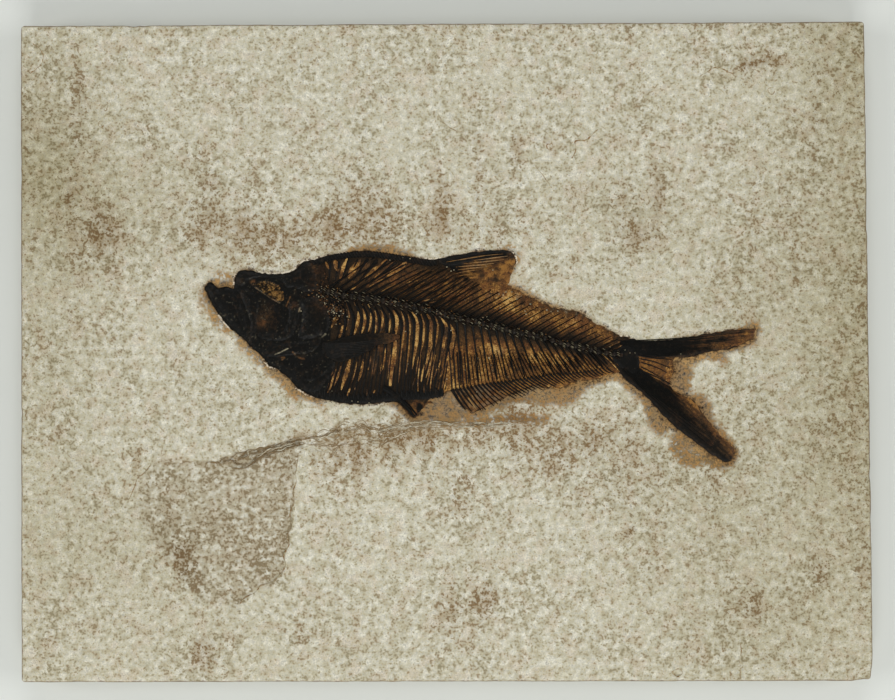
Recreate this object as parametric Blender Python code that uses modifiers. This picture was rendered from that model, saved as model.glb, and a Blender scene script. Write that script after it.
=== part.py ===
# Fossil fish slab: a herring-like fish that lies with its left side up in a slab of laminated limestone.
# Frame: origin at the centre of the underside, +X towards the tail, +Y towards the back, +Z out of the face.

import math

import bmesh
import bpy
from mathutils import Vector

MM = 0.001

# Driving dimensions, in millimetres.
SLAB_CORNERS = ((-203.8, -158.2), (203.8, -156.7), (200.4, 158.2), (-203.8, 156.2))
SLAB_THICKNESS = 14.0
CORNER_RADIUS = 2.2
RIM_BEVEL = 0.8
POCKET_DEPTH = 1.5
PATCH_DEPTH = 0.5
GAP = 0.3
POCKET_CLEARANCE = 0.4
FILM_THICKNESS = 1.0
PLATE_INSET = 0.25
PLATE_BEVEL = 0.3
FIN_THICKNESS = 0.8

RIB_COUNT = 16
RIB_RADIUS = 0.55
RIB_DROP = 2.6
PREDORSAL_COUNT = 9
PREDORSAL_RADIUS = 0.5
VERTEBRA_COUNT = 39
VERTEBRA_RADIUS = 1.85
VERTEBRA_WAIST = 0.78
COLUMN_FLATTEN = 0.6
COLUMN_TAPER = 0.2
SPINE_RADIUS = 0.42
SPINE_TIP_SHARE = 0.58
FIRST_HAEMAL = 17
HAEMAL_FOOT_GAP = 3.0
# Slopes from the horizontal, in degrees, of the first and the last of each row of spines.
NEURAL_SLOPES = (42.0, 28.0)
HAEMAL_SLOPES = (84.0, 44.0)
# How far the neural spines reach towards the back, as shares of the room, at the neck and at the tail.
NEURAL_REACH = (0.6, 0.32)
NEURAL_CLEARANCE = 1.1
SCUTE_THICKNESS = 1.0
# How far the flat bones stand up from the film.
RISES = {
    "skull_roof": 1.6,
    "upper_jaw": 1.5,
    "lower_jaw": 1.7,
    "cheek_plate": 1.6,
    "gill_cover": 2.2,
    "throat_plate": 1.2,
    "eye": 1.1,
    "shoulder_girdle": 1.1,
}

# Heights, worked out from the dimensions above.
FILM_LOW = SLAB_THICKNESS - POCKET_DEPTH + GAP
FILM_HIGH = FILM_LOW + FILM_THICKNESS
BONE_LOW = FILM_HIGH + GAP
OVER_RIBS = BONE_LOW + 2 * RIB_RADIUS + GAP

# The fish's outline, walked clockwise from the tip of the lower jaw, in named stretches.
JAW_TOP = [(-116.4, 30.5), (-114.0, 33.4), (-112.0, 32.4), (-109.7, 30.5), (-106.3, 31.4), (-102.5, 30.0)]
SNOUT = [(-102.0, 33.0), (-101.5, 36.6), (-99.6, 38.6), (-95.8, 39.1)]
HEAD_TOP = [
    (-89.5, 37.7), (-84.5, 37.2), (-78.5, 37.4), (-75.0, 38.2), (-72.2, 40.1), (-69.0, 43.0), (-66.0, 43.4),
]
BACK = [
    (-60.7, 44.9), (-56.0, 46.3), (-46.3, 47.8), (-36.7, 48.2), (-27.0, 47.0), (-17.5, 45.4), (-8.0, 43.9),
]
DORSAL_EDGE = [
    (-4.6, 44.4), (4.0, 46.3), (13.7, 47.8), (23.3, 48.7), (29.5, 48.5),
    (32.4, 46.3), (33.4, 43.4), (31.9, 40.1), (31.0, 36.7), (29.5, 31.9),
]
REAR_BACK = [
    (35.3, 29.0), (40.0, 26.2), (45.0, 23.8), (49.7, 21.4), (59.3, 19.9),
    (64.0, 18.5), (69.0, 15.1), (73.7, 12.2), (78.5, 10.3), (83.3, 7.9),
]
TAIL_TOP = [
    (88.0, 6.0), (93.0, 5.0), (97.7, 4.6), (107.3, 5.5), (117.0, 7.0),
    (126.5, 8.6), (136.0, 10.3), (143.3, 11.0), (149.0, 10.8),
]
TAIL_NOTCH_UPPER = [(146.6, 6.5), (141.0, 3.1), (132.2, 0.7), (124.0, -0.7), (117.0, -2.6), (109.5, -3.0)]
TAIL_NOTCH = [(109.0, -9.0), (107.3, -16.5)]
TAIL_NOTCH_LOWER = [
    (112.0, -20.4), (117.8, -23.3), (122.6, -29.0), (127.4, -34.8),
    (132.2, -40.6), (136.6, -44.4), (139.0, -48.2), (137.5, -51.6),
]
TAIL_BOTTOM = [
    (135.6, -53.0), (131.3, -51.6), (126.5, -48.7), (121.7, -45.0), (112.0, -37.7),
    (107.3, -33.4), (102.5, -28.6), (97.7, -23.3), (93.0, -19.0), (88.0, -15.0), (83.3, -10.3),
]
ANAL_EDGE = [
    (79.4, -10.8), (73.7, -12.7), (69.0, -14.2), (63.0, -14.2), (59.3, -16.1), (54.5, -17.5),
    (49.7, -17.0), (42.5, -17.0), (35.3, -19.0), (25.7, -23.3), (16.0, -28.1), (12.2, -30.0),
    (9.4, -27.6), (4.6, -21.8), (2.6, -18.5),
]
PELVIC_EDGE = [(-10.3, -24.4), (-12.0, -27.5), (-15.6, -31.9), (-18.5, -29.5), (-22.3, -25.4)]
PELVIC_BASE = [(-23.0, -24.8), (-17.0, -24.6)]
DORSAL_BASE = [(16.0, 34.8), (8.0, 36.3), (-5.8, 43.0)]
BELLY = [(-27.0, -24.2), (-36.7, -25.2), (-46.3, -25.2), (-56.0, -23.8), (-62.6, -22.3)]
THROAT = [
    (-70.3, -18.5), (-75.0, -13.7), (-81.4, -8.4), (-85.7, -6.5), (-88.6, -2.6), (-94.3, 2.2),
    (-98.2, 6.5), (-103.0, 10.3), (-107.3, 15.1), (-112.0, 21.4), (-115.0, 27.1),
]

# Lines inside the body.
SPINE = [
    (-60.4, 29.6), (-53.5, 27.6), (-46.3, 26.6), (-39.0, 25.7), (-32.0, 24.7), (-22.3, 22.8), (-8.0, 19.9),
    (1.7, 17.0), (16.0, 13.9), (25.7, 11.5), (35.3, 8.9), (45.0, 7.0), (54.5, 4.3), (64.0, 2.2), (73.7, -0.2),
    (84.5, -1.7),
]
ANAL_BASE = [
    (6.5, -17.5), (13.7, -16.1), (21.0, -14.6), (30.5, -13.7), (40.0, -12.2), (49.7, -10.8),
    (59.3, -10.3), (69.0, -8.9), (75.6, -7.0), (81.0, -7.4),
]
BELLY_INNER = [
    (-1.7, -19.2), (-8.0, -19.6), (-17.5, -20.4), (-27.0, -20.4), (-36.7, -21.4),
    (-46.3, -21.4), (-56.0, -20.2), (-60.5, -20.8),
]
BELLY_OUTER = [
    (-59.5, -22.6), (-56.0, -23.3), (-46.3, -24.7), (-36.7, -24.7),
    (-27.0, -23.8), (-8.0, -22.9), (-2.0, -21.6),
]
BACK_SCUTE_DEPTH = 2.6

# Each rib is read between these three, as offsets from its head, and runs down to the belly scutes.
RIB_HEADS = (-49.7, 0.7)
RIB_SHAPES = (
    (0.0, [(0.0, 0.0), (3.3, -8.6), (1.4, -19.2), (-1.5, -29.7), (-5.8, -43.2)]),
    (0.5, [(0.0, 0.0), (3.4, -5.3), (3.9, -13.9), (2.9, -26.4), (2.2, -38.4)]),
    (1.0, [(0.0, 0.0), (0.3, -4.0), (-0.2, -11.1), (-1.9, -22.1), (-4.3, -34.6)]),
)
RIB_FOOT_GAP = 1.2

# The predorsal bones fan out between these two rows.
PREDORSAL_FEET = ((-56.4, 33.9), (-33.4, 33.9))
PREDORSAL_TOPS_X = (-56.0, -19.5)
PREDORSAL_TOP_GAP = 1.6

# The flat bones of the head and the shoulder.
SKULL_ROOF = [
    (-101.6, 32.2), (-101.3, 36.2), (-99.6, 38.4), (-95.8, 38.9), (-89.5, 37.5), (-78.5, 37.0), (-74.6, 38.1),
    (-71.8, 40.5), (-69.0, 42.8), (-66.0, 43.2), (-64.1, 41.5), (-62.6, 36.7), (-62.0, 31.5), (-64.6, 28.6),
    (-70.3, 29.5), (-74.2, 31.0), (-77.0, 30.6), (-79.6, 33.6), (-83.8, 35.4), (-88.6, 35.6), (-93.2, 35.0),
    (-96.0, 32.8), (-99.0, 31.4),
]
EYE = [
    (-93.8, 32.6), (-91.9, 33.8), (-88.0, 34.2), (-84.0, 33.6), (-80.6, 31.8), (-78.4, 29.0), (-77.9, 25.7),
    (-79.4, 24.0), (-82.8, 24.7), (-87.6, 27.6), (-91.6, 30.4),
]
UPPER_JAW = [
    (-101.0, 29.2), (-97.7, 30.2), (-94.6, 29.6), (-91.4, 26.2), (-90.0, 22.3), (-91.0, 16.1), (-91.4, 10.3),
    (-93.4, 3.6), (-95.0, 5.0), (-94.4, 12.7), (-96.4, 19.9), (-98.8, 26.4),
]
LOWER_JAW = [
    (-116.0, 30.4), (-114.0, 33.0), (-112.0, 32.0), (-109.7, 30.2), (-106.3, 31.0), (-103.0, 30.0),
    (-100.3, 26.6), (-97.9, 19.9), (-96.0, 12.7), (-96.4, 6.9), (-98.2, 6.9), (-103.0, 10.7),
    (-107.0, 15.4), (-111.8, 21.6), (-114.7, 27.1),
]
CHEEK_PLATE = [
    (-75.6, 23.3), (-72.2, 23.8), (-70.9, 19.0), (-71.8, 12.7), (-74.2, 7.4), (-79.9, 5.0), (-88.6, 5.8),
    (-90.4, 7.4), (-89.6, 9.4), (-84.7, 8.9), (-79.0, 9.8), (-76.6, 14.2), (-76.0, 19.0),
]
GILL_COVER = [
    (-70.8, 23.8), (-66.5, 26.2), (-61.7, 25.7), (-57.8, 21.8), (-55.9, 17.0), (-55.9, 12.2), (-57.8, 8.4),
    (-62.6, 7.0), (-67.9, 6.0), (-71.8, 7.0), (-70.3, 12.2), (-69.4, 18.0),
]
THROAT_PLATE = [
    (-93.4, 1.8), (-90.5, 3.8), (-79.9, 4.0), (-72.7, 4.8), (-65.5, 4.8), (-59.8, 6.0), (-64.6, -0.2),
    (-72.7, -1.7), (-79.9, -2.6), (-86.6, -2.6), (-88.2, -1.9), (-91.5, 0.2),
]
SHOULDER_GIRDLE = [
    (-85.6, -4.3), (-79.9, -3.6), (-71.8, -2.6), (-64.0, -1.2), (-57.8, 2.2), (-55.4, -0.2), (-53.5, -5.0),
    (-54.5, -9.8), (-57.8, -14.6), (-61.7, -19.0), (-65.5, -19.6), (-70.0, -17.6), (-75.0, -12.9),
    (-81.4, -7.6), (-84.7, -6.3),
]
PECTORAL_FIN = [
    (-59.8, 4.1), (-51.0, 6.5), (-41.5, 8.4), (-29.5, 8.9), (-22.8, 7.9), (-23.8, 4.6), (-29.5, 2.6),
    (-35.8, -0.2), (-41.5, -2.6), (-48.7, -4.6), (-55.0, -3.6), (-58.3, -0.2),
]
TAIL_MIDDLE = [
    (91.0, -3.4), (100.0, -3.6), (108.4, -3.9), (107.9, -9.0), (106.2, -15.5),
    (102.5, -13.9), (97.7, -11.5), (93.2, -8.5), (91.4, -6.5),
]
TAIL_LOWER_INNER = [
    (81.5, -5.4), (87.5, -5.2), (90.4, -8.0), (93.0, -9.9), (97.7, -12.8), (102.5, -15.2), (106.8, -17.2),
]
TAIL_UPPER_INNER = [(100.0, -2.5), (93.0, -2.4), (89.0, -1.5)]

# A patch below the head where the top lamina has flaked away.
PEELED_PATCH = [
    (-142.3, -53.5), (-132.7, -51.5), (-116.0, -53.0), (-103.0, -49.7), (-92.0, -47.3), (-70.3, -42.5),
    (-72.7, -56.9), (-73.7, -71.3), (-75.6, -90.5), (-78.0, -100.0), (-78.5, -107.3), (-87.0, -114.5),
    (-99.0, -119.3), (-112.6, -120.2), (-120.7, -114.5), (-137.5, -92.9), (-149.5, -71.3),
]
# A chip broken from the slab's lower right corner.
CHIP_CENTRE = (206.5, -161.5, 14.0)
CHIP_RADIUS = 8.0


def clear_scene():
    for item in list(bpy.data.objects):
        bpy.data.objects.remove(item, do_unlink=True)


def new_collection(name):
    made = bpy.data.collections.new(name)
    bpy.context.scene.collection.children.link(made)
    return made


def new_material(name, colour, roughness, metallic=0.0):
    made = bpy.data.materials.new(name)
    made.use_nodes = True
    shader = made.node_tree.nodes["Principled BSDF"]
    shader.inputs["Base Color"].default_value = (*colour, 1.0)
    shader.inputs["Roughness"].default_value = roughness
    shader.inputs["Metallic"].default_value = metallic
    return made


def offset(outline, distance):
    """The outline moved outwards by distance, with mitred corners. It may be listed either way round."""
    count = len(outline)
    area = sum(
        outline[i - 1][0] * outline[i][1] - outline[i][0] * outline[i - 1][1] for i in range(count)
    )
    side = 1.0 if area > 0 else -1.0
    moved = []
    for i in range(count):
        here = Vector(outline[i])
        before = (here - Vector(outline[i - 1])).normalized()
        after = (Vector(outline[(i + 1) % count]) - here).normalized()
        normal = Vector((before.y + after.y, -before.x - after.x)).normalized() * side
        across = Vector((before.y, -before.x)) * side
        moved.append(tuple(here + normal * distance / max(0.5, normal.dot(across))))
    return moved


def height_at(line, x):
    """The line's y at x, by straight interpolation."""
    for (x0, y0), (x1, y1) in zip(line, line[1:]):
        if x <= x1 or (x1, y1) == line[-1]:
            return y0 + (y1 - y0) * (x - x0) / (x1 - x0)


def smooth(points, steps):
    """A Catmull-Rom curve through the points, with this many steps between neighbours."""
    ends = [points[0], *points, points[-1]]
    curve = []
    for i in range(len(points) - 1):
        p0, p1, p2, p3 = (Vector(p) for p in ends[i : i + 4])
        for k in range(steps):
            t = k / steps
            curve.append(
                0.5 * (2 * p1 + (p2 - p0) * t + (2 * p0 - 5 * p1 + 4 * p2 - p3) * t**2
                       + (3 * p1 - p0 - 3 * p2 + p3) * t**3)
            )
    return [*(tuple(p) for p in curve), tuple(points[-1])]


def mesh_from_curve(source, collection):
    """The curve's solid as a mesh object of the same name, with its caps welded. The curve is removed."""
    bpy.context.scene.collection.objects.link(source)
    bpy.context.view_layer.update()
    graph = bpy.context.evaluated_depsgraph_get()
    mesh = bpy.data.meshes.new_from_object(source.evaluated_get(graph))
    mesh.transform(source.matrix_world)
    name = source.name
    bpy.data.objects.remove(source, do_unlink=True)
    bm = bmesh.new()
    bm.from_mesh(mesh)
    bmesh.ops.remove_doubles(bm, verts=bm.verts, dist=0.00001)
    bmesh.ops.recalc_face_normals(bm, faces=bm.faces)
    bm.to_mesh(mesh)
    bm.free()
    made = bpy.data.objects.new(name, mesh)
    collection.objects.link(made)
    return made


def plate(name, outline, low, high, collection, material=None, bevel=0.0):
    """A flat piece with this outline, between two heights."""
    curve = bpy.data.curves.new(name, "CURVE")
    curve.dimensions = "2D"
    curve.fill_mode = "BOTH"
    curve.extrude = (high - low) / 2 * MM
    line = curve.splines.new("POLY")
    line.points.add(len(outline) - 1)
    for point, (x, y) in zip(line.points, outline):
        point.co = (x * MM, y * MM, 0.0, 1.0)
    line.use_cyclic_u = True
    source = bpy.data.objects.new(name, curve)
    source.location.z = (low + high) / 2 * MM
    made = mesh_from_curve(source, collection)
    if material:
        made.data.materials.append(material)
    if bevel:
        rounding = made.modifiers.new("Rounded edges", "BEVEL")
        rounding.width = bevel * MM
        rounding.segments = 1
        rounding.limit_method = "ANGLE"
        rounding.angle_limit = math.radians(60)
    return made


def rods(name, paths, sides_level, collection, material=None, flatten=1.0):
    """Round bones that lie on the film: each path is a list of (x, y, radius)."""
    curve = bpy.data.curves.new(name, "CURVE")
    curve.dimensions = "3D"
    curve.bevel_depth = MM
    curve.bevel_resolution = sides_level
    curve.use_fill_caps = True
    for path in paths:
        line = curve.splines.new("POLY")
        line.points.add(len(path) - 1)
        widest = max(radius for _, _, radius in path)
        for point, (x, y, radius) in zip(line.points, path):
            point.co = (x * MM, y * MM, (BONE_LOW / flatten + widest) * MM, 1.0)
            point.radius = radius
    source = bpy.data.objects.new(name, curve)
    source.scale.z = flatten
    made = mesh_from_curve(source, collection)
    if material:
        made.data.materials.append(material)
    made.data.shade_smooth()
    made.data.set_sharp_from_angle(angle=math.radians(50))
    return made


def ball(name, centre, radius, collection):
    bm = bmesh.new()
    bmesh.ops.create_icosphere(bm, subdivisions=2, radius=radius * MM)
    mesh = bpy.data.meshes.new(name)
    bm.to_mesh(mesh)
    bm.free()
    made = bpy.data.objects.new(name, mesh)
    made.location = [c * MM for c in centre]
    collection.objects.link(made)
    return made


def helper(item):
    item.hide_render = True
    item.display_type = "WIRE"
    return item


def boolean(target, other, operation):
    step = target.modifiers.new(operation.title(), "BOOLEAN")
    step.operation = operation
    step.object = helper(other)


def fish_outline():
    return [
        *JAW_TOP, *SNOUT, *HEAD_TOP, *BACK, *DORSAL_EDGE, *REAR_BACK, *TAIL_TOP, *TAIL_NOTCH_UPPER,
        *TAIL_NOTCH, *TAIL_NOTCH_LOWER, *TAIL_BOTTOM, *ANAL_EDGE, *PELVIC_EDGE, *BELLY, *THROAT,
    ]


def rounded_corners(corners, radius, steps=3):
    """The polygon with each corner replaced by a short arc."""
    points = []
    for i, corner in enumerate(corners):
        here = Vector(corner)
        back = (Vector(corners[i - 1]) - here).normalized() * radius
        on = (Vector(corners[(i + 1) % len(corners)]) - here).normalized() * radius
        for k in range(steps + 1):
            turn = k / steps * math.pi / 2
            points.append(tuple(here + back * (1 - math.sin(turn)) + on * (1 - math.cos(turn))))
    return points


def make_slab(parts, cutters, material):
    outline = rounded_corners(SLAB_CORNERS, CORNER_RADIUS)
    slab = plate("limestone_slab", outline, 0.0, SLAB_THICKNESS, parts, material, RIM_BEVEL)
    over = SLAB_THICKNESS + 1.0
    pocket = offset(fish_outline(), POCKET_CLEARANCE)
    boolean(slab, plate("pocket_cutter", pocket, SLAB_THICKNESS - POCKET_DEPTH, over, cutters), "DIFFERENCE")
    patch = plate("patch_cutter", PEELED_PATCH, SLAB_THICKNESS - PATCH_DEPTH, over, cutters)
    boolean(slab, patch, "DIFFERENCE")
    chip = ball("chip_cutter", CHIP_CENTRE, CHIP_RADIUS, cutters)
    boolean(slab, chip, "DIFFERENCE")


def make_head(parts, bone, eye_stone):
    outlines = {
        "skull_roof": SKULL_ROOF,
        "upper_jaw": UPPER_JAW,
        "lower_jaw": LOWER_JAW,
        "cheek_plate": CHEEK_PLATE,
        "gill_cover": GILL_COVER,
        "throat_plate": THROAT_PLATE,
        "eye": EYE,
        "shoulder_girdle": SHOULDER_GIRDLE,
    }
    for name, outline in outlines.items():
        material = eye_stone if name == "eye" else bone
        edge = offset(outline, -PLATE_INSET)
        plate(name, edge, BONE_LOW, BONE_LOW + RISES[name], parts, material, PLATE_BEVEL)


def between(ends, share):
    return ends[0] + (ends[1] - ends[0]) * share


def column_radius(share):
    return VERTEBRA_RADIUS * (1.0 - COLUMN_TAPER * share)


def column_point(share):
    """The point on the backbone's centre line at this share of its length."""
    x = between((SPINE[0][0], SPINE[-1][0]), share)
    return x, height_at(SPINE, x)


def neural_spine(x, y, share):
    """It leans back towards the tail, and stops short of the predorsal bones."""
    slope = math.radians(between(NEURAL_SLOPES, share))
    room = height_at([*BACK, *REAR_BACK, TAIL_TOP[0]], x) - y
    reach = min(PREDORSAL_FEET[0][1] - NEURAL_CLEARANCE - y, between(NEURAL_REACH, share) * room)
    tip = (x + reach / math.tan(slope), y + reach, SPINE_RADIUS * SPINE_TIP_SHARE)
    return [(x, y, SPINE_RADIUS), tip]


def haemal_spine(x, y, share):
    """It hangs down to the row of the anal fin's base."""
    first = FIRST_HAEMAL / VERTEBRA_COUNT
    slope = math.radians(between(HAEMAL_SLOPES, (share - first) / (1.0 - first)))
    drop = y - height_at(ANAL_BASE, x) - HAEMAL_FOOT_GAP
    foot = (x + drop / math.tan(slope), y - drop, SPINE_RADIUS * SPINE_TIP_SHARE)
    return [(x, y, SPINE_RADIUS), foot]


def make_backbone(parts, cutters, bone):
    column = []
    spines = []
    for index in range(VERTEBRA_COUNT):
        start = index / VERTEBRA_COUNT
        middle = (index + 0.5) / VERTEBRA_COUNT
        radius = column_radius(start)
        x, y = column_point(middle)
        column.append((*column_point(start), radius))
        column.append((x, y, radius * VERTEBRA_WAIST))
        spines.append(neural_spine(x, y + radius * 0.3, start))
        if FIRST_HAEMAL <= index <= VERTEBRA_COUNT - 3:
            spines.append(haemal_spine(x, y - radius * 0.3, start))
    column.append((*SPINE[-1], column_radius(1.0)))
    backbone = rods("backbone", [column], 2, parts, bone, COLUMN_FLATTEN)
    boolean(backbone, rods("spine_union", spines, 1, cutters), "UNION")


def rib_path(share):
    """The rib at this share of the way back: its shape is read between its neighbours in RIB_SHAPES."""
    head_x = between(RIB_HEADS, share)
    head_y = height_at(SPINE, head_x) - RIB_DROP
    first, second = (0, 1) if share < 0.5 else (1, 2)
    (at0, shape0), (at1, shape1) = RIB_SHAPES[first], RIB_SHAPES[second]
    mix = (share - at0) / (at1 - at0)
    points = [(x0 + (x1 - x0) * mix, y0 + (y1 - y0) * mix) for (x0, y0), (x1, y1) in zip(shape0, shape1)]
    foot_x, foot_y = points[-1]
    floor = height_at(BELLY_INNER[::-1], head_x + foot_x) + RIB_FOOT_GAP
    stretch = (floor - head_y) / foot_y
    line = smooth([(head_x + x, head_y + y * stretch) for x, y in points], 2)
    last = len(line) - 1
    return [(x, y, RIB_RADIUS * (1.0 - 0.35 * i / last)) for i, (x, y) in enumerate(line)]


def make_ribs(parts, bone):
    for index in range(RIB_COUNT):
        rods(f"rib_{index + 1:02d}", [rib_path(index / (RIB_COUNT - 1))], 1, parts, bone)


def make_predorsals(parts, bone):
    for index in range(PREDORSAL_COUNT):
        share = index / (PREDORSAL_COUNT - 1)
        foot = Vector(PREDORSAL_FEET[0]).lerp(Vector(PREDORSAL_FEET[1]), share)
        top_x = between(PREDORSAL_TOPS_X, share)
        top_y = height_at(BACK, top_x) - BACK_SCUTE_DEPTH - PREDORSAL_TOP_GAP
        path = [(foot.x, foot.y, PREDORSAL_RADIUS * 0.7), (top_x, top_y, PREDORSAL_RADIUS)]
        rods(f"predorsal_bone_{index + 1:02d}", [path], 1, parts, bone)


def make_scutes(parts, bone):
    inner = [(x, y - BACK_SCUTE_DEPTH) for x, y in BACK[::-1]]
    back_band = offset([*BACK, *inner], -PLATE_INSET)
    plate("back_scutes", back_band, BONE_LOW, BONE_LOW + SCUTE_THICKNESS, parts, bone)
    belly_band = [*BELLY_INNER, *BELLY_OUTER]
    plate("belly_scutes", belly_band, BONE_LOW, BONE_LOW + SCUTE_THICKNESS, parts, bone)


def make_fins(parts, bone):
    outlines = {
        "dorsal_fin": [*DORSAL_EDGE, *DORSAL_BASE],
        "anal_fin": [*ANAL_EDGE, *ANAL_BASE],
        "pelvic_fin": [*PELVIC_EDGE, *PELVIC_BASE],
        "pectoral_fin": PECTORAL_FIN,
        "tail_upper_lobe": [*TAIL_TOP, *TAIL_NOTCH_UPPER, *TAIL_UPPER_INNER],
        "tail_middle_rays": TAIL_MIDDLE,
        "tail_lower_lobe": [*TAIL_LOWER_INNER, *TAIL_NOTCH_LOWER, *TAIL_BOTTOM],
    }
    for name, outline in outlines.items():
        low = OVER_RIBS if name == "pectoral_fin" else BONE_LOW
        plate(name, offset(outline, -PLATE_INSET), low, low + FIN_THICKNESS, parts, bone)


def main():
    clear_scene()
    parts = new_collection("fossil_fish_slab")
    cutters = new_collection("cutters")
    limestone = new_material("limestone", (0.47, 0.42, 0.32), 0.9)
    bone = new_material("fossil_bone", (0.028, 0.018, 0.012), 0.35)
    skin = new_material("mineral_film", (0.16, 0.085, 0.035), 0.5)
    amber = new_material("amber_eye", (0.2, 0.1, 0.03), 0.3)
    make_slab(parts, cutters, limestone)
    plate("body_film", fish_outline(), FILM_LOW, FILM_HIGH, parts, skin)
    make_head(parts, bone, amber)
    make_backbone(parts, cutters, bone)
    make_ribs(parts, bone)
    make_predorsals(parts, bone)
    make_scutes(parts, bone)
    make_fins(parts, bone)


main()
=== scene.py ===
import math

import bpy
import numpy as np
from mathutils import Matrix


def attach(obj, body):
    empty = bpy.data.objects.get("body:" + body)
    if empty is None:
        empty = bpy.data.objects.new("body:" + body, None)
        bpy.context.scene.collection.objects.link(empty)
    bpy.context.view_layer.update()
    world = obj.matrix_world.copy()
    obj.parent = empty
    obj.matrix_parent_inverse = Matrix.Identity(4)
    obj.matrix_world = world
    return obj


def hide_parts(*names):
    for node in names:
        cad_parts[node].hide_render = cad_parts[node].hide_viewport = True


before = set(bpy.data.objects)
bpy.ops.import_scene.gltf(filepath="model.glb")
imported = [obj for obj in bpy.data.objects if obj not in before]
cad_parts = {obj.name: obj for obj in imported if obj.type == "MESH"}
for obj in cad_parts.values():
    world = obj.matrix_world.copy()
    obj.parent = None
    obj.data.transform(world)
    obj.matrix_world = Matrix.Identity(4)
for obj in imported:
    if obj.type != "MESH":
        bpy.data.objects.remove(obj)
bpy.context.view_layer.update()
print("stage: frame loaded with", len(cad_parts), "nodes")

mm = 0.001
faceHeight = 14.0  # the slab's top face

# The fish's outline, walked clockwise from the tip of the lower jaw, in named stretches.
jawTop = [(-116.4, 30.5), (-114, 33.4), (-112, 32.4), (-109.7, 30.5), (-106.3, 31.4), (-102.5, 30)]
snout = [(-102, 33), (-101.5, 36.6), (-99.6, 38.6), (-95.8, 39.1)]
headTop = [
    (-89.5, 37.7), (-84.5, 37.2), (-78.5, 37.4), (-75, 38.2), (-72.2, 40.1), (-69, 43), (-66, 43.4),
]
back = [
    (-60.7, 44.9), (-56, 46.3), (-46.3, 47.8), (-36.7, 48.2), (-27, 47), (-17.5, 45.4), (-8, 43.9),
]
dorsalEdge = [
    (-4.6, 44.4), (4, 46.3), (13.7, 47.8), (23.3, 48.7), (29.5, 48.5), (32.4, 46.3), (33.4, 43.4),
    (31.9, 40.1), (31, 36.7), (29.5, 31.9),
]
rearBack = [
    (35.3, 29), (40, 26.2), (45, 23.8), (49.7, 21.4), (59.3, 19.9), (64, 18.5), (69, 15.1), (73.7, 12.2),
    (78.5, 10.3), (83.3, 7.9),
]
tailTop = [
    (88, 6), (93, 5), (97.7, 4.6), (107.3, 5.5), (117, 7), (126.5, 8.6), (136, 10.3), (143.3, 11),
    (149, 10.8),
]
tailNotchUpper = [(146.6, 6.5), (141, 3.1), (132.2, 0.7), (124, -0.7), (117, -2.6), (109.5, -3)]
tailNotch = [(109, -9), (107.3, -16.5)]
tailNotchLower = [
    (112, -20.4), (117.8, -23.3), (122.6, -29), (127.4, -34.8), (132.2, -40.6), (136.6, -44.4),
    (139, -48.2), (137.5, -51.6),
]
tailBottom = [
    (135.6, -53), (131.3, -51.6), (126.5, -48.7), (121.7, -45), (112, -37.7), (107.3, -33.4),
    (102.5, -28.6), (97.7, -23.3), (93, -19), (88, -15), (83.3, -10.3),
]
analEdge = [
    (79.4, -10.8), (73.7, -12.7), (69, -14.2), (63, -14.2), (59.3, -16.1), (54.5, -17.5), (49.7, -17),
    (42.5, -17), (35.3, -19), (25.7, -23.3), (16, -28.1), (12.2, -30), (9.4, -27.6), (4.6, -21.8),
    (2.6, -18.5),
]
pelvicEdge = [(-10.3, -24.4), (-12, -27.5), (-15.6, -31.9), (-18.5, -29.5), (-22.3, -25.4)]
belly = [(-27, -24.2), (-36.7, -25.2), (-46.3, -25.2), (-56, -23.8), (-62.6, -22.3)]
throat = [
    (-70.3, -18.5), (-75, -13.7), (-81.4, -8.4), (-85.7, -6.5), (-88.6, -2.6), (-94.3, 2.2), (-98.2, 6.5),
    (-103, 10.3), (-107.3, 15.1), (-112, 21.4), (-115, 27.1),
]
# Lines inside the outline: the backbone, the base of the anal fin and the top of the belly scutes.
spineLine = [
    (-60.4, 29.6), (-53.5, 27.6), (-46.3, 26.6), (-39, 25.7), (-32, 24.7), (-22.3, 22.8), (-8, 19.9),
    (1.7, 17), (16, 13.9), (25.7, 11.5), (35.3, 8.9), (45, 7), (54.5, 4.3), (64, 2.2), (73.7, -0.2),
    (84.5, -1.7),
]
analBase = [
    (2.6, -17.9), (6.5, -17.5), (13.7, -16.1), (21, -14.6), (30.5, -13.7), (40, -12.2), (49.7, -10.8),
    (59.3, -10.3), (69, -8.9), (75.6, -7), (81, -7.4),
]
bellyInner = [
    (-60.5, -20.8), (-56, -20.2), (-46.3, -21.4), (-36.7, -21.4), (-27, -20.4), (-17.5, -20.4),
    (-8, -19.6), (-1.7, -19.2),
]


def smoothLine(points, count, closed=False):
    # A cubic through each run of four neighbouring points, read again at even steps of its length.
    knots = np.array(points, float)
    if closed:
        knots = np.vstack([knots[-1], knots, knots[:2]])
    else:
        knots = np.vstack([2 * knots[0] - knots[1], knots, 2 * knots[-1] - knots[-2]])
    spans = len(knots) - 3
    walk = np.linspace(0, spans, spans * 10 + 1)
    first = np.minimum(walk.astype(int), spans - 1)
    t = (walk - first)[:, None]
    a, b, c, d = (knots[first + k] for k in range(4))
    curve = 0.5 * (2 * b + (c - a) * t + (2 * a - 5 * b + 4 * c - d) * t**2 + (3 * b - a - 3 * c + d) * t**3)
    steps = np.linalg.norm(np.diff(curve, axis=0), axis=1)
    length = np.concatenate([[0], np.cumsum(steps)])
    at = np.linspace(0, length[-1], count + 1 if closed else count)
    line = np.stack([np.interp(at, length, curve[:, k]) for k in range(knots.shape[1])], axis=1)
    return line[:-1] if closed else line


def heightOf(line, x):
    # The line's y at x, by straight interpolation. The line may be listed either way.
    points = np.array(line, float)
    points = points[np.argsort(points[:, 0])]
    return np.interp(x, points[:, 0], points[:, 1])


def blend(start, end, share):
    return start + (end - start) * share


tracing = {"square": 0.48, "middle": (446.5, 351.5)}


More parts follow.
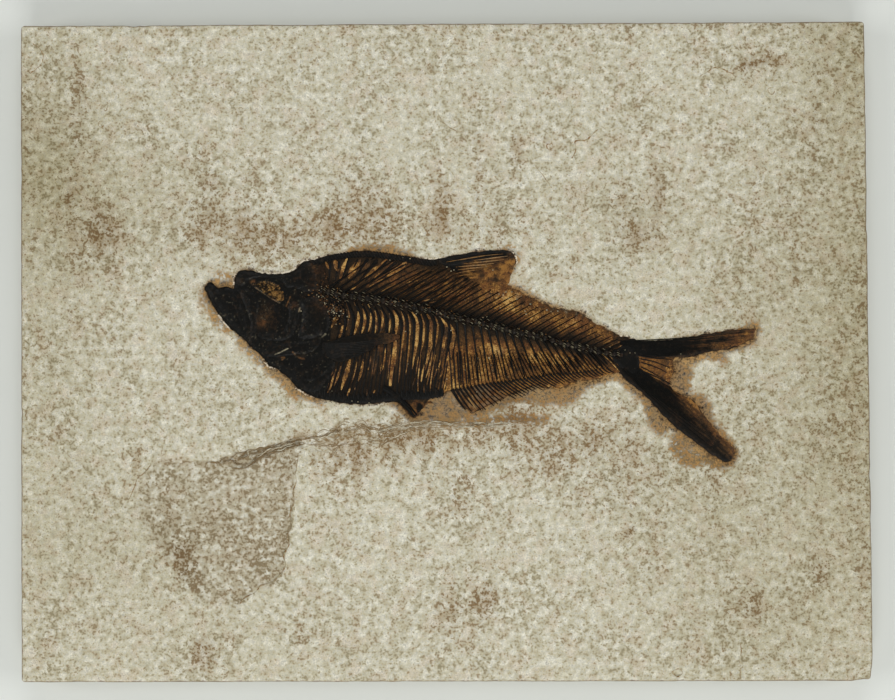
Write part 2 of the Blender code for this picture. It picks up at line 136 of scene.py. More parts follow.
def traced(points):
    # Places read as column and row on a tracing grid of small squares, as x and y in millimetres.
    away = np.array(points, float) - tracing["middle"]
    return np.round(away * [tracing["square"], -tracing["square"]], 1)


def ease(value, low, high):
    # 0 below low, 1 above high, and an S-shaped step between them.
    t = np.clip((np.asarray(value, float) - low) / (high - low), 0, 1)
    return t * t * (3 - 2 * t)


def nearLine(x, y, line):
    # For each point, the distance to the nearest side of an open line, and how far along the line that is.
    a = np.array(line[:-1], float)
    side = np.array(line[1:], float) - a
    size = np.maximum((side**2).sum(1), 1e-12)
    flatX, flatY = np.ravel(x), np.ravel(y)
    distance, share = np.empty(len(flatX)), np.empty(len(flatX))
    for start in range(0, len(flatX), 2048):
        px = flatX[start : start + 2048, None] - a[:, 0]
        py = flatY[start : start + 2048, None] - a[:, 1]
        t = np.clip((px * side[:, 0] + py * side[:, 1]) / size, 0, 1)
        gap = (px - t * side[:, 0]) ** 2 + (py - t * side[:, 1]) ** 2
        best = gap.argmin(1)
        rows = np.arange(len(best))
        distance[start : start + 2048] = np.sqrt(gap[rows, best])
        share[start : start + 2048] = (best + t[rows, best]) / len(a)
    return distance.reshape(np.shape(x)), share.reshape(np.shape(x))


def rimDistance(x, y, outline):
    # The distance to a closed outline, positive inside and negative outside: a point is inside if a ray
    # from it to the right crosses the outline an odd number of times.
    loop = np.vstack([outline, outline[:1]])
    distance, _ = nearLine(x, y, loop)
    a, b = loop[:-1], loop[1:]
    rise = np.where(np.abs(b[:, 1] - a[:, 1]) < 1e-12, 1e-12, b[:, 1] - a[:, 1])
    flatX, flatY = np.ravel(x), np.ravel(y)
    inside = np.empty(len(flatX), bool)
    for start in range(0, len(flatX), 2048):
        px = flatX[start : start + 2048, None]
        py = flatY[start : start + 2048, None]
        spans = (a[:, 1] > py) != (b[:, 1] > py)
        crossing = a[:, 0] + (py - a[:, 1]) / rise * (b[:, 0] - a[:, 0])
        inside[start : start + 2048] = (spans & (px < crossing)).sum(1) % 2 == 1
    return np.where(inside.reshape(np.shape(x)), distance, -distance)


def softNoise(x, y, size, seed):
    # Random heights from -1 to 1 on a square net of this size, with an S-shaped blend between them.
    table = np.random.default_rng(seed).random((256, 256)) * 2 - 1
    u, v = np.asarray(x) / size + 1000, np.asarray(y) / size + 1000
    i, j = np.floor(u).astype(int), np.floor(v).astype(int)
    s, t = ease(u - i, 0, 1), ease(v - j, 0, 1)
    low = table[i % 256, j % 256] * (1 - s) + table[(i + 1) % 256, j % 256] * s
    high = table[i % 256, (j + 1) % 256] * (1 - s) + table[(i + 1) % 256, (j + 1) % 256] * s
    return low * (1 - t) + high * t


def roughNoise(x, y, size, seed, layers=3):
    # Soft noise with finer and fainter layers added, each half the size and half the strength.
    total = sum(softNoise(x, y, size / 2**k, seed + k) / 2**k for k in range(layers))
    return total / sum(0.5**k for k in range(layers))


def patches(x, y, spots):
    # Soft oval spots added together: each is its centre, its two half widths and its strength.
    total = np.zeros(np.shape(x))
    for centreX, centreY, wide, tall, strength in spots:
        total += strength * np.exp(-(((x - centreX) / wide) ** 2) - ((y - centreY) / tall) ** 2)
    return total


def gridFaces(rows, columns, wrap=False):
    # The four corners of every cell of a grid of points that is stored row by row.
    index = np.arange(rows * columns).reshape(rows, columns)
    if wrap:
        index = np.hstack([index, index[:, :1]])
    low, high = index[:-1], index[1:]
    return np.stack([low[:, :-1], low[:, 1:], high[:, 1:], high[:, :-1]], axis=-1).reshape(-1, 4)


def newPiece(name, parts, finish, nodes=(), sharpAngle=50):
    # One object from several parts: each is its points, a list of face arrays, and named values per point.
    offset, points, corners, sizes = 0, [], [], []
    for partPoints, partFaces, _ in parts:
        points.append(partPoints)
        for faces in partFaces:
            corners.append((faces + offset).ravel())
            sizes.append(np.full(len(faces), faces.shape[1]))
        offset += len(partPoints)
    points, corners, sizes = np.concatenate(points), np.concatenate(corners), np.concatenate(sizes)
    mesh = bpy.data.meshes.new(name)
    mesh.vertices.add(len(points))
    mesh.vertices.foreach_set("co", (points * mm).astype(np.float32).ravel())
    mesh.loops.add(len(corners))
    mesh.loops.foreach_set("vertex_index", corners.astype(np.int32))
    mesh.polygons.add(len(sizes))
    mesh.polygons.foreach_set("loop_start", np.concatenate([[0], np.cumsum(sizes)[:-1]]).astype(np.int32))
    mesh.update(calc_edges=True)
    mesh.validate()
    for key in parts[0][2]:
        values = np.concatenate([part[2][key] for part in parts]).astype(np.float32)
        mesh.attributes.new(key, "FLOAT", "POINT").data.foreach_set("value", values)
    mesh.shade_smooth()
    mesh.set_sharp_from_angle(angle=math.radians(sharpAngle))
    mesh.materials.append(finish)
    piece = bpy.data.objects.new(name, mesh)
    bpy.context.scene.collection.objects.link(piece)
    if nodes:
        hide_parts(*nodes)
    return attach(piece, "root")


def bones(rings, values):
    # Closed tubes: rings is (bone, station, corner, xyz). Each ring is joined to the next, and each end is
    # closed by a fan to its middle. A bone whose volume comes out negative is turned the other way round.
    rings = np.array(rings, float)
    count, stations, sides, _ = rings.shape
    a = rings
    b = np.roll(rings, -1, axis=2)
    centre = rings.mean(axis=(1, 2), keepdims=True)
    flux = np.cross(a[:, :-1] - centre, b[:, :-1] - centre) * (a[:, 1:] - centre)
    rings = np.where((flux.sum(axis=(1, 2, 3)) < 0)[:, None, None, None], rings[:, :, ::-1], rings)
    poles = rings[:, [0, -1]].mean(axis=2)
    perBone = stations * sides + 2
    points = np.concatenate([rings.reshape(count, -1, 3), poles], axis=1).reshape(-1, 3)
    walls = gridFaces(stations, sides, wrap=True)
    around = np.arange(sides)
    onward = (around + 1) % sides
    last = (stations - 1) * sides
    firstCap = np.stack([onward, around, np.full(sides, stations * sides)], axis=1)
    lastCap = np.stack([around + last, onward + last, np.full(sides, stations * sides + 1)], axis=1)
    shift = (np.arange(count) * perBone)[:, None, None]
    faces = [
        (walls[None] + shift).reshape(-1, 4),
        (np.vstack([firstCap, lastCap])[None] + shift).reshape(-1, 3),
    ]
    out = {}
    for key, value in values.items():
        full = np.broadcast_to(np.asarray(value, float), (count, stations, sides))
        ends = full[:, [0, -1]].mean(axis=2)
        out[key] = np.concatenate([full.reshape(count, -1), ends], axis=1).ravel()
    return points, faces, out


def laidBones(paths, halfWidths, heights, values, sides=6, sink=0.3, lift=0.0, bed=None):
    # Half an ellipse carried along each path: across the path it reaches the half width, upwards the height,
    # and its flat underside sinks a little into what it lies on.
    paths = np.array(paths, float)
    if paths.ndim == 2:
        paths = paths[None]
    count, stations, _ = paths.shape
    along = np.gradient(paths, axis=1)
    along /= np.maximum(np.linalg.norm(along, axis=2, keepdims=True), 1e-9)
    across = np.stack([-along[..., 1], along[..., 0]], axis=-1)
    halfWidths = np.broadcast_to(np.asarray(halfWidths, float), (count, stations))
    heights = np.broadcast_to(np.asarray(heights, float), (count, stations))
    turn = np.linspace(0, math.pi, sides)
    flat = paths[:, :, None] + across[:, :, None] * (np.cos(turn) * halfWidths[..., None])[..., None]
    base = (bed or bodyHeight)(paths[..., 0], paths[..., 1]) + lift - sink
    up = base[..., None] + np.sin(turn) * (heights + sink)[..., None]
    rings = np.concatenate([flat, up[..., None]], axis=-1)
    spread = {}
    for key, value in values.items():
        spread[key] = np.broadcast_to(np.asarray(value, float), (count, stations))[..., None]
    return bones(rings, spread)


def plate(outline, spacing, topOf, bottomOf, valuesOf):
    # A plate over an even net of points: the cells inside the outline are kept, and the points on their
    # border are moved onto it. Its top and underside are heights at x, y and the distance d from the rim.
    outline = np.array(outline, float)
    low, high = outline.min(0) - spacing, outline.max(0) + 2 * spacing
    x, y = np.meshgrid(np.arange(low[0], high[0], spacing), np.arange(low[1], high[1], spacing))
    d = rimDistance(x, y, outline)
    near = d > -0.45 * spacing
    cells = near[:-1, :-1] & near[1:, :-1] & near[:-1, 1:] & near[1:, 1:]
    cells &= (d[:-1, :-1] + d[1:, :-1] + d[:-1, 1:] + d[1:, 1:]) > 0
    for _ in range(3):  # two cells that touch only at a corner would pinch the wall
        a, b, c, e = cells[:-1, :-1], cells[:-1, 1:], cells[1:, :-1], cells[1:, 1:]
        pinched = (a & e & ~b & ~c) | (b & c & ~a & ~e)
        cells[:-1, :-1] &= ~pinched
        cells[:-1, 1:] &= ~pinched
    faces = gridFaces(*x.shape)[cells.ravel()]
    used, faces = np.unique(faces, return_inverse=True)
    faces = faces.reshape(-1, 4)
    x, y, d = x.ravel()[used], y.ravel()[used], d.ravel()[used]
    edges = np.stack([faces, np.roll(faces, -1, axis=1)], axis=-1).reshape(-1, 2)
    codes = edges[:, 0] * len(used) + edges[:, 1]
    border = edges[~np.isin(codes, edges[:, 1] * len(used) + edges[:, 0])]
    rim = np.unique(border)
    loop = np.vstack([outline, outline[:1]])
    side = np.diff(loop, axis=0)
    gapX, gapY = x[rim, None] - loop[:-1, 0], y[rim, None] - loop[:-1, 1]
    t = np.clip((gapX * side[:, 0] + gapY * side[:, 1]) / np.maximum((side**2).sum(1), 1e-12), 0, 1)
    footX, footY = loop[:-1, 0] + t * side[:, 0], loop[:-1, 1] + t * side[:, 1]
    best = ((x[rim, None] - footX) ** 2 + (y[rim, None] - footY) ** 2).argmin(1)
    rows = np.arange(len(rim))
    x[rim], y[rim], d[rim] = footX[rows, best], footY[rows, best], 0
    d = np.maximum(d, 0)
    count = len(used)
    points = np.concatenate([
        np.stack([x, y, topOf(x, y, d)], axis=1),
        np.stack([x, y, bottomOf(x, y, d)], axis=1),
    ])
    wall = np.stack([border[:, 1], border[:, 0], border[:, 0] + count, border[:, 1] + count], axis=1)
    values = {key: np.tile(value, 2) for key, value in valuesOf(x, y, d).items()}
    return points, [faces, wall, faces[:, ::-1] + count], values


fishOutline = smoothLine(
    [
        *jawTop, *snout, *headTop, *back, *dorsalEdge, *rearBack, *tailTop, *tailNotchUpper, *tailNotch,
        *tailNotchLower, *tailBottom, *analEdge, *pelvicEdge, *belly, *throat,
    ],
    900,
    closed=True,
)


def ragged(outline, amount, size, seed):
    # The outline with each point moved along its normal by a noise that runs along the line.
    side = np.roll(outline, -1, axis=0) - np.roll(outline, 1, axis=0)
    length = np.maximum(np.linalg.norm(side, axis=1), 1e-9)
    normal = np.stack([side[:, 1], -side[:, 0]], axis=1) / length[:, None]
    shift = amount * roughNoise(outline[:, 0], outline[:, 1], size, seed, 3)
    return outline + normal * shift[:, None]


fishOutline = ragged(fishOutline, 0.55 + 1.5 * ease(fishOutline[:, 0], 122, 140), 2.4, 301)
rearBackTorn = ease(fishOutline[:, 0], 24, 34) * ease(-fishOutline[:, 0], -92, -80)
fishOutline = ragged(fishOutline, 0.4 + 0.9 * rearBackTorn, 1.1, 303)
spineCurve = smoothLine(spineLine, 120)


class Wire:
    # One output of a node. Plain arithmetic on it adds the Math nodes.
    def __init__(self, recipe, socket):
        self.recipe = recipe
        self.socket = socket

    def maths(self, operation, *others):
        return self.recipe.node("ShaderNodeMath", {"operation": operation}, dict(enumerate([self, *others])))

    def __add__(self, other):
        return self.maths("ADD", other)

    def __mul__(self, other):
        return self.maths("MULTIPLY", other)

    def __sub__(self, other):
        return self.maths("SUBTRACT", other)

    def __rsub__(self, other):
        return self.recipe.node("ShaderNodeMath", {"operation": "SUBTRACT"}, {0: other, 1: self})

    def step(self, low, high):
        # 0 below low, 1 above high, with a soft step between. It also works with low above high.
        settings = {"interpolation_type": "SMOOTHSTEP"}
        if low <= high:
            return self.recipe.node("ShaderNodeMapRange", settings, {0: self, 1: low, 2: high})
        return 1 - self.recipe.node("ShaderNodeMapRange", settings, {0: self, 1: high, 2: low})

    __radd__ = __add__
    __rmul__ = __mul__


class Recipe:
    # A material and the few calls that fill its node tree.
    def __init__(self, name):
        self.material = bpy.data.materials.new(name)
        self.material.use_nodes = True
        self.tree = self.material.node_tree
        self.shader = self.tree.nodes["Principled BSDF"]
        self.place = self.node("ShaderNodeTexCoord", output="Object")

    def node(self, kind, settings=None, inputs=None, output=0):
        made = self.tree.nodes.new(kind)
        for key, value in (settings or {}).items():
            if key == "stops":
                ramp = made.color_ramp.elements
                while len(ramp) < len(value):
                    ramp.new(0.5)
                for element, (position, colour) in zip(ramp, value):
                    element.position = position
                    element.color = colour
            else:
                setattr(made, key, value)
        for key, value in (inputs or {}).items():
            if isinstance(value, Wire):
                self.tree.links.new(value.socket, made.inputs[key])
            else:
                made.inputs[key].default_value = value
        return Wire(self, made.outputs[output])

    def value(self, name):
        return self.node("ShaderNodeAttribute", {"attribute_name": name}, output="Fac")

    def noise(self, size, detail=3, roughness=0.6, place=None):
        scale = 1 / (size * mm)
        inputs = {"Vector": place or self.place, "Scale": scale, "Detail": detail, "Roughness": roughness}
        return self.node("ShaderNodeTexNoise", None, inputs)

    def cells(self, size, output="Distance", feature="F1", randomness=1):
        inputs = {"Vector": self.place, "Scale": 1 / (size * mm), "Randomness": randomness}
        return self.node("ShaderNodeTexVoronoi", {"feature": feature}, inputs, output)

    def stretched(self, x, y, z, turn=0):
        inputs = {"Vector": self.place, "Scale": (x, y, z), "Rotation": (0, 0, math.radians(turn))}
        return self.node("ShaderNodeMapping", None, inputs)

    def mix(self, first, second, factor, how="MIX"):
        settings = {"data_type": "RGBA", "blend_type": how}
        return self.node("ShaderNodeMix", settings, {0: factor, 6: first, 7: second}, output=2)

    def scaled(self, colour, factor):
        return self.node("ShaderNodeVectorMath", {"operation": "SCALE"}, {0: colour, "Scale": factor})

    def finish(self, roughness, bumpHeight=None, bumpStrength=0.3, bumpDistance=0.1, **sockets):
        for key, value in {"Roughness": roughness, **sockets}.items():
            name = key.replace("_", " ")
            if isinstance(value, Wire):
                self.tree.links.new(value.socket, self.shader.inputs[name])
            else:
                self.shader.inputs[name].default_value = value
        if bumpHeight is not None:
            inputs = {"Height": bumpHeight, "Strength": bumpStrength, "Distance": bumpDistance * mm}
            bump = self.node("ShaderNodeBump", None, inputs)
            self.tree.links.new(bump.socket, self.shader.inputs["Normal"])
        return self.material


def screen(red, green, blue):
    # A colour given as it looks on a screen, 0 to 255, as the linear values that the nodes take.
    parts = [c / 255 for c in (red, green, blue)]
    return (*(c / 12.92 if c < 0.04045 else ((c + 0.055) / 1.055) ** 2.4 for c in parts), 1)


stoneColours = {
    "cream": screen(193, 189, 168),
    "white": screen(214, 211, 195),
    "blush": screen(192, 178, 156),
    "olive": screen(158, 148, 118),
    "greySpeck": screen(112, 103, 77),
    "brownSpeck": screen(106, 82, 52),
    "stain": screen(140, 117, 82),
    "tint": screen(214, 209, 191),
    "gold": screen(162, 124, 72),
    "soaked": screen(182, 152, 112),
    "halo": screen(106, 78, 43),
    "haloDeep": screen(66, 46, 25),
    "patchSpeck": screen(112, 95, 68),
    "patchWash": screen(166, 156, 132),
    "thread": screen(128, 98, 60),
    "grey": screen(118, 98, 68),
    "shade": screen(122, 98, 62),
    # the pale of the cut edge round the fish: chalky stone, and a painted highlight
    "chalk": screen(222, 212, 190),
    "rim": screen(98, 78, 54),
    "side": screen(186, 178, 154),
}


def limestoneFinish(colours):
    m = Recipe("creamLimestone")
    stain = m.value("stain")
    patch = m.value("patch")
    tint = m.value("tint")
    broad = m.noise(22)
    hue = m.noise(8, 2)
    mottle = m.noise(4.6)
    middle = m.noise(2.2, 2)
    grain = m.noise(1.1, 2)
    sand = m.noise(0.55, 1, 0.5)
    # pale lumps on cream, blushing in places, then a soft olive mottle between the lumps
    body = m.mix(colours["cream"], colours["white"], (mottle * 0.5 + middle * 0.5).step(0.5, 0.4))
    body = m.mix(body, colours["blush"], hue.step(0.5, 0.66) * 0.45)
    dusk = mottle * 0.4 + middle * 0.4 + grain * 0.2 + (broad - 0.5) * 0.14 + stain * 0.05 + patch * 0.035
    body = m.mix(body, colours["olive"], dusk.step(0.47, 0.6) * 0.72)
    # a wash of brown in the stains and of grey-brown in the flaked patch
    wash = stain * (mottle * 1.2 + middle * 0.8)
    body = m.mix(body, colours["stain"], wash.step(0.05, 1) * 0.64)
    body = m.mix(body, colours["patchWash"], patch * (mottle + middle).step(0.72, 1.05) * 0.85)
    # separate dark specks, brown in the stains and grey elsewhere, thicker where it is stained
    speck = middle * 0.45 + grain * 0.42 + mottle * 0.13 + (broad - 0.5) * 0.16
    speck = speck + stain * 0.08 + patch * 0.055 + tint * 0.015 - 0.006
    amount = speck.step(0.55, 0.612) * (0.74 + stain * 0.4 + patch * 0.24)
    brownness = (hue + stain * 0.4 + tint * 0.1).step(0.45, 0.65)
    brown = m.mix(colours["greySpeck"], colours["brownSpeck"], brownness)
    brown = m.mix(brown, colours["patchSpeck"], patch * 0.8)
    body = m.mix(body, brown, amount * 0.9)
    body = m.mix(body, colours["tint"], tint, "MULTIPLY")
    light = (sand - 0.5) * 0.7 + (grain - 0.5) * 0.7 + (middle - 0.5) * 0.45 + (mottle - 0.5) * 0.3
    body = m.scaled(body, 0.985 + light)
    # the brown that has soaked into the stone round the fish: a tint, with gold and deep brown grains
    ragged = (mottle - 0.5) * 5 + (middle - 0.5) * 3 + (grain - 0.5) * 2
    away = m.value("fishEdge") + ragged
    halo = m.value("halo")
    spread = mottle * 0.35 + middle * 0.35 + grain * 0.3
    strength = m.value("soakStrength")
    deep = colours["halo"]
    soaked = m.mix(body, colours["soaked"], 1, "MULTIPLY")
    soaked = m.mix(soaked, colours["gold"], (middle * 0.6 + grain * 0.4).step(0.5, 0.6) * 0.4)
    soaked = m.mix(soaked, deep, (mottle * 0.3 + middle * 0.4 + grain * 0.3).step(0.5, 0.42) * 0.7)
    soaked = m.mix(soaked, deep, (strength * 0.5 + spread * 0.5).step(0.7, 0.88) * 0.6)
    soaked = m.mix(soaked, deep, away.step(3.4, -0.6) * 0.55)
    soaked = m.scaled(soaked, 0.98 + (mottle - 0.5) * 1.8 + (middle - 0.5) * 1.8 + (grain - 0.5) * 2.4)
    soak = (m.value("soak") + 0.5 + ragged * 0.9).step(-2.6, 1.3)
    soak = soak * (spread + strength * 0.3).step(0.56, 0.7)
    body = m.mix(body, soaked, soak * 0.9)
    outer = (away - halo * 1.8).step(1.4, -0.8)
    body = m.mix(body, soaked, outer * spread.step(0.58, 0.47) * 0.6)
    body = m.mix(body, soaked, (away - halo * 1.2).step(0.7, -0.9) * 0.8)
    edge = m.value("fishEdge") + (middle - 0.5) * 2
    body = m.mix(body, colours["haloDeep"], edge.step(0.45, 0) * 0.6)
    # a pale line just outside the fish: chalky stone in places, and a painted highlight where the cut edge
    # catches the light
    line = m.value("fishEdge") + (middle - 0.5) * 1.4
    chalk = line.step(0, 0.2) * line.step(1.1, 0.6) * (hue + m.value("chalk")).step(0.8, 1.15)
    body = m.mix(body, colours["chalk"], chalk * (grain * 0.5 + middle * 0.5).step(0.42, 0.54) * 0.85)
    # a brown shade along the ledge, and the dark line round the slab's edge
    ledge = m.value("ledge") * (mottle * 0.5 + middle * 0.5).step(0.4, 0.58)
    body = m.mix(body, colours["shade"], ledge * 0.68)
    rim = m.value("rim") + (m.noise(2.2) - 0.5) * 2.2
    body = m.mix(body, colours["rim"], rim.step(0.9, 0.1) * 0.8)
    # the split sides, in thin beds
    beds = m.noise(1.6, 3, 0.6, m.stretched(0.16, 0.16, 1))
    split = m.mix(colours["side"], colours["olive"], dusk.step(0.44, 0.56) * 0.8)
    split = m.mix(split, colours["patchSpeck"], (beds * 0.7 + grain * 0.3).step(0.5, 0.6) * 0.45)
    split = m.scaled(split, 1 + (grain - 0.5) * 1.4)
    body = m.mix(body, split, m.value("side"))
    relief = middle * 0.5 + grain * 0.6 + sand * 0.2 - amount * 0.25 + beds * m.value("side") * 1.2
    return m.finish(0.86, relief, 0.4, 0.35, Base_Color=body, Specular_IOR_Level=0.25)


def threadFinish(colours):
    m = Recipe("brownThread")
    grain = m.noise(0.9)
    body = m.mix(colours["thread"], colours["olive"], m.noise(1.4).step(0.42, 0.6))
    lamina = m.mix(colours["grey"], colours["cream"], m.value("light"))
    body = m.mix(body, lamina, m.value("lamina"))
    body = m.scaled(body, 1 + (grain - 0.5) * 1.2)
    return m.finish(0.86, grain, 0.3, 0.1, Base_Color=body, Specular_IOR_Level=0.2)


fishColours = {
    "black": screen(16, 14, 11),
    "umber": screen(52, 39, 25),
    "brown": screen(92, 62, 33),
    "gold": screen(138, 97, 46),
    "straw": screen(182, 144, 84),
    "paleGlint": screen(190, 180, 148),
    "boneBlack": screen(12, 12, 10),
    "boneBrown": screen(44, 33, 22),
    "dullGlint": screen(92, 84, 66),
    "amber": screen(138, 98, 48),
    "rust": screen(100, 60, 34),
    "eyeGold": screen(122, 94, 52),
    "eyeDark": screen(24, 19, 13),
}


def filmFinish(colours):
    m = Recipe("goldenFilm")
    fine = m.noise(0.7, 3, 0.65)
    flecks = m.noise(1.7, 3, 0.7)
    cloud = m.noise(5)
    spark = m.noise(0.6, 1, 0.5)
    gold = m.value("gold") * (cloud * 2 + flecks * 2.6 + fine * 2.6 - 2.55)
    stops = [
        (0, colours["black"]),
        (0.16, colours["umber"]),
        (0.38, colours["brown"]),
        (0.7, colours["gold"]),
        (1, colours["straw"]),
    ]
    ramp = m.node("ShaderNodeValToRGB", {"stops": stops}, {0: gold})
    rusty = gold.step(0.12, 0.35) * m.noise(6, 2).step(0.48, 0.62)
    body = m.mix(ramp, colours["rust"], rusty * 0.45)
    body = m.mix(body, colours["black"], spark.step(0.42, 0.34) * 0.55)
    body = m.mix(body, colours["straw"], spark.step(0.6, 0.7) * gold.step(0.25, 0.6) * 0.8)
    body = m.mix(body, colours["paleGlint"], m.value("pale") * fine.step(0.42, 0.62))
    return m.finish(0.42, fine + cloud * 0.5, 0.45, 0.25, Base_Color=body, Specular_IOR_Level=0.12)


def boneFinish(colours):
    m = Recipe("blackBone")
    fine = m.noise(0.5, 3, 0.65)
    flecks = m.noise(1.5, 3, 0.7)
    cloud = m.noise(4)
    brownness = (cloud * 0.5 + flecks * 0.5).step(0.5, 0.68)
    body = m.mix(colours["boneBlack"], colours["boneBrown"], brownness * 0.5)
    glint = m.noise(0.6, 1, 0.5).step(0.6, 0.74) * flecks.step(0.5, 0.62)
    body = m.mix(body, colours["dullGlint"], glint * 0.2)
    amber = m.value("amber") * (cloud * 1.7 + flecks * 2.6 + fine * 2.5 - 2.4)
    bright = m.mix(colours["brown"], colours["amber"], amber.step(0.55, 1.3))
    warm = m.mix(colours["umber"], bright, amber.step(0.15, 0.75))
    warm = m.mix(warm, colours["rust"], m.noise(6, 2).step(0.48, 0.62) * 0.25)
    body = m.mix(body, warm, amber.step(0, 0.35))
    # pale flecks, and painted glints, where the value pale is set
    body = m.mix(body, colours["paleGlint"], m.value("pale"))
    rough = 0.3 + fine * 0.3
    return m.finish(rough, fine * 0.9 + cloud * 0.5, 0.5, 0.22, Base_Color=body, Specular_IOR_Level=0.11)


def eyeFinish(colours):
    m = Recipe("amberEye")
    blotch = m.noise(2, 3, 0.7)
    fine = m.noise(0.7, 2)
    gold = (blotch * 0.75 + fine * 0.25 + m.value("amber") * 0.06).step(0.5, 0.56)
    pads = m.cells(2.8, feature="DISTANCE_TO_EDGE").step(0.04, 0.16)
    tone = m.mix(colours["brown"], colours["eyeGold"], fine.step(0.4, 0.58))
    body = m.mix(colours["eyeDark"], tone, gold * (0.25 + pads * 0.75))
    return m.finish(0.34, blotch + fine, 0.5, 0.3, Base_Color=body, Specular_IOR_Level=0.1)


def floorFinish():
    m = Recipe("paleFloor")
    body = m.mix(screen(207, 210, 205), screen(211, 214, 209), m.noise(90, 2, 0.5))
    return m.finish(0.9, Base_Color=body, Specular_IOR_Level=0.1)


limestone = limestoneFinish(stoneColours)
brownThread = threadFinish(stoneColours)
goldenFilm = filmFinish(fishColours)
blackBone = boneFinish(fishColours)
amberEye = eyeFinish(fishColours)
print("stage: finishes mixed")


bodyShape = {
    "rimHeight": 13.75,
    "dome": 0.75,  # how far the middle of the body stands over its rim
    "domeWidth": 9.0,
    "spineRidge": 0.35,
    "ripple": 0.09,
    "netSpacing": 0.8,
    "netLow": (-124, -60),
    "netHigh": (156, 56),
}


def makeHeightNet(shape):
    # The rim height, plus a dome that rises with the distance from the outline, a ridge along the spine and
    # a fine ripple.
    low, high, step = shape["netLow"], shape["netHigh"], shape["netSpacing"]
    x, y = np.meshgrid(np.arange(low[0], high[0], step), np.arange(low[1], high[1], step))
    inside = np.maximum(rimDistance(x, y, fishOutline), 0)
    fromSpine, _ = nearLine(x, y, spineCurve)
    height = shape["rimHeight"] + shape["dome"] * (1 - np.exp(-inside / shape["domeWidth"] * 2))
    height += shape["spineRidge"] * np.exp(-((fromSpine / 3) ** 2)) * ease(inside, 0, 3)
    height += shape["ripple"] * roughNoise(x, y, 6, 11) * ease(inside, 0, 2)
    return height


heightNet = makeHeightNet(bodyShape)


def bodyHeight(x, y):
    # The height net read between its four nearest points.
    (lowX, lowY), step = bodyShape["netLow"], bodyShape["netSpacing"]
    u = np.clip((np.asarray(x) - lowX) / step, 0, heightNet.shape[1] - 1.001)
    v = np.clip((np.asarray(y) - lowY) / step, 0, heightNet.shape[0] - 1.001)
    i, j = u.astype(int), v.astype(int)
    s, t = u - i, v - j
    low = heightNet[j, i] * (1 - s) + heightNet[j, i + 1] * s
    high = heightNet[j + 1, i] * (1 - s) + heightNet[j + 1, i + 1] * s
    return low * (1 - t) + high * t


slab = {
    "corners": [(-204.8, -159.5), (205.6, -158.8), (201.3, 159), (-205.1, 156.9)],
    "halfSize": (203.8, 158.2),
    "cornerRadius": 2.2,
    "rimDrop": 0.55,
    "rimWidth": 1.1,
    "edgeWobble": 0.45,
    "relief": 0.16,
    "sideRows": 9,
    "bedDepth": 0.7,
    "undersideRings": 12,
    "patchDrop": 0.4,
    "fineX": (-152, 156),
    "fineY": (-122, 56),
    "fineStep": 1.12,
    "coarseStep": 2.5,
}
peeledPatch = [
    (-142.3, -53.5), (-132.7, -51.5), (-116, -53), (-103, -49.7), (-92, -47.3), (-70.3, -42.5),
    (-72.7, -56.9), (-73.7, -71.3), (-75.6, -90.5), (-78, -100), (-78.5, -107.3), (-87, -114.5),
    (-99, -119.3), (-112.6, -120.2), (-120.7, -114.5), (-137.5, -92.9), (-149.5, -71.3),
]
ledges = [
    [(-117, -54.2), (-112, -53.4), (-107.8, -51.8), (-103, -50.2), (-96.7, -49.7), (-88.6, -47.3),
     (-77.5, -43.9), (-67.9, -41.5), (-58.3, -40.1), (-48.7, -36.7), (-41.5, -36.2), (-34.3, -37.7),
     (-22.3, -35.3), (-10.3, -34.3), (-3.1, -34.3), (11.3, -34.8), (23.3, -34.8), (35.3, -34.3),
     (48.7, -35.3)],
    [(-104.9, -53), (-94.3, -50.2), (-82.3, -46.8), (-70.3, -43.9), (-55.9, -42), (-46.3, -39.1),
     (-37.7, -38.6), (-29.5, -39.6)],
]
# Brown threads on the stone: half width, then the points. The first three run round the flaked patch.
threads = [
    (0.3, [(-71.3, -50), (-72.6, -58.4), (-72, -62), (-73.8, -67), (-73.2, -72.5), (-75.4, -78),
        (-74.6, -84), (-76.8, -88.5), (-75.8, -93), (-78.4, -98.5), (-77.4, -103), (-79.6, -107.3)]),
    (0.3, [(-79.6, -107.3), (-84, -111), (-89.5, -112.6), (-92, -116), (-97, -118.5), (-99.5, -121.5)]),
    (0.22, [(-142.3, -54.5), (-145.5, -58.5), (-148.6, -61), (-150.5, -66), (-152.5, -71)]),
    (0.34, [(-199, 148.1), (-196.1, 146.2), (-194.2, 143.3), (-194.6, 139), (-197, 136.1),
        (-199.9, 134.2)]),
    (0.26, [(-4.6, 115.9), (-2.6, 111.6), (0.2, 108.7), (4.1, 106.3), (7.9, 105.4)]),
    (0.42, [(60.2, 92.9), (61.7, 95.3), (62.2, 98.2), (61.7, 100.6), (63.6, 101.5), (66.5, 101.5),
        (68.4, 102.5), (69.4, 103.9), (72.2, 106.3), (76.1, 107.8)]),
    (0.26, [(42.5, 89.5), (45.4, 86.2), (48.2, 82.3), (50.6, 78.5)]),
    (0.34, [(121.7, 131.8), (125, 134.2), (128.9, 136.6), (133.2, 135.6), (137.5, 133.7)]),
    (0.26, [(141.4, -140.4), (141.8, -144.2), (140.9, -148.1), (141.4, -152.9), (141.4, -157)]),
    (0.28, [(108.5, -154), (111, -156.6), (113.6, -154.6), (111.5, -152.6), (108.5, -154)]),
]
# Small brown rings: centre and radius.
rings = [(49.7, 98.6, 1.5), (156.2, 125.5, 1.6), (-164.4, 117.4, 1.4), (-166.3, 109.2, 1.3)]
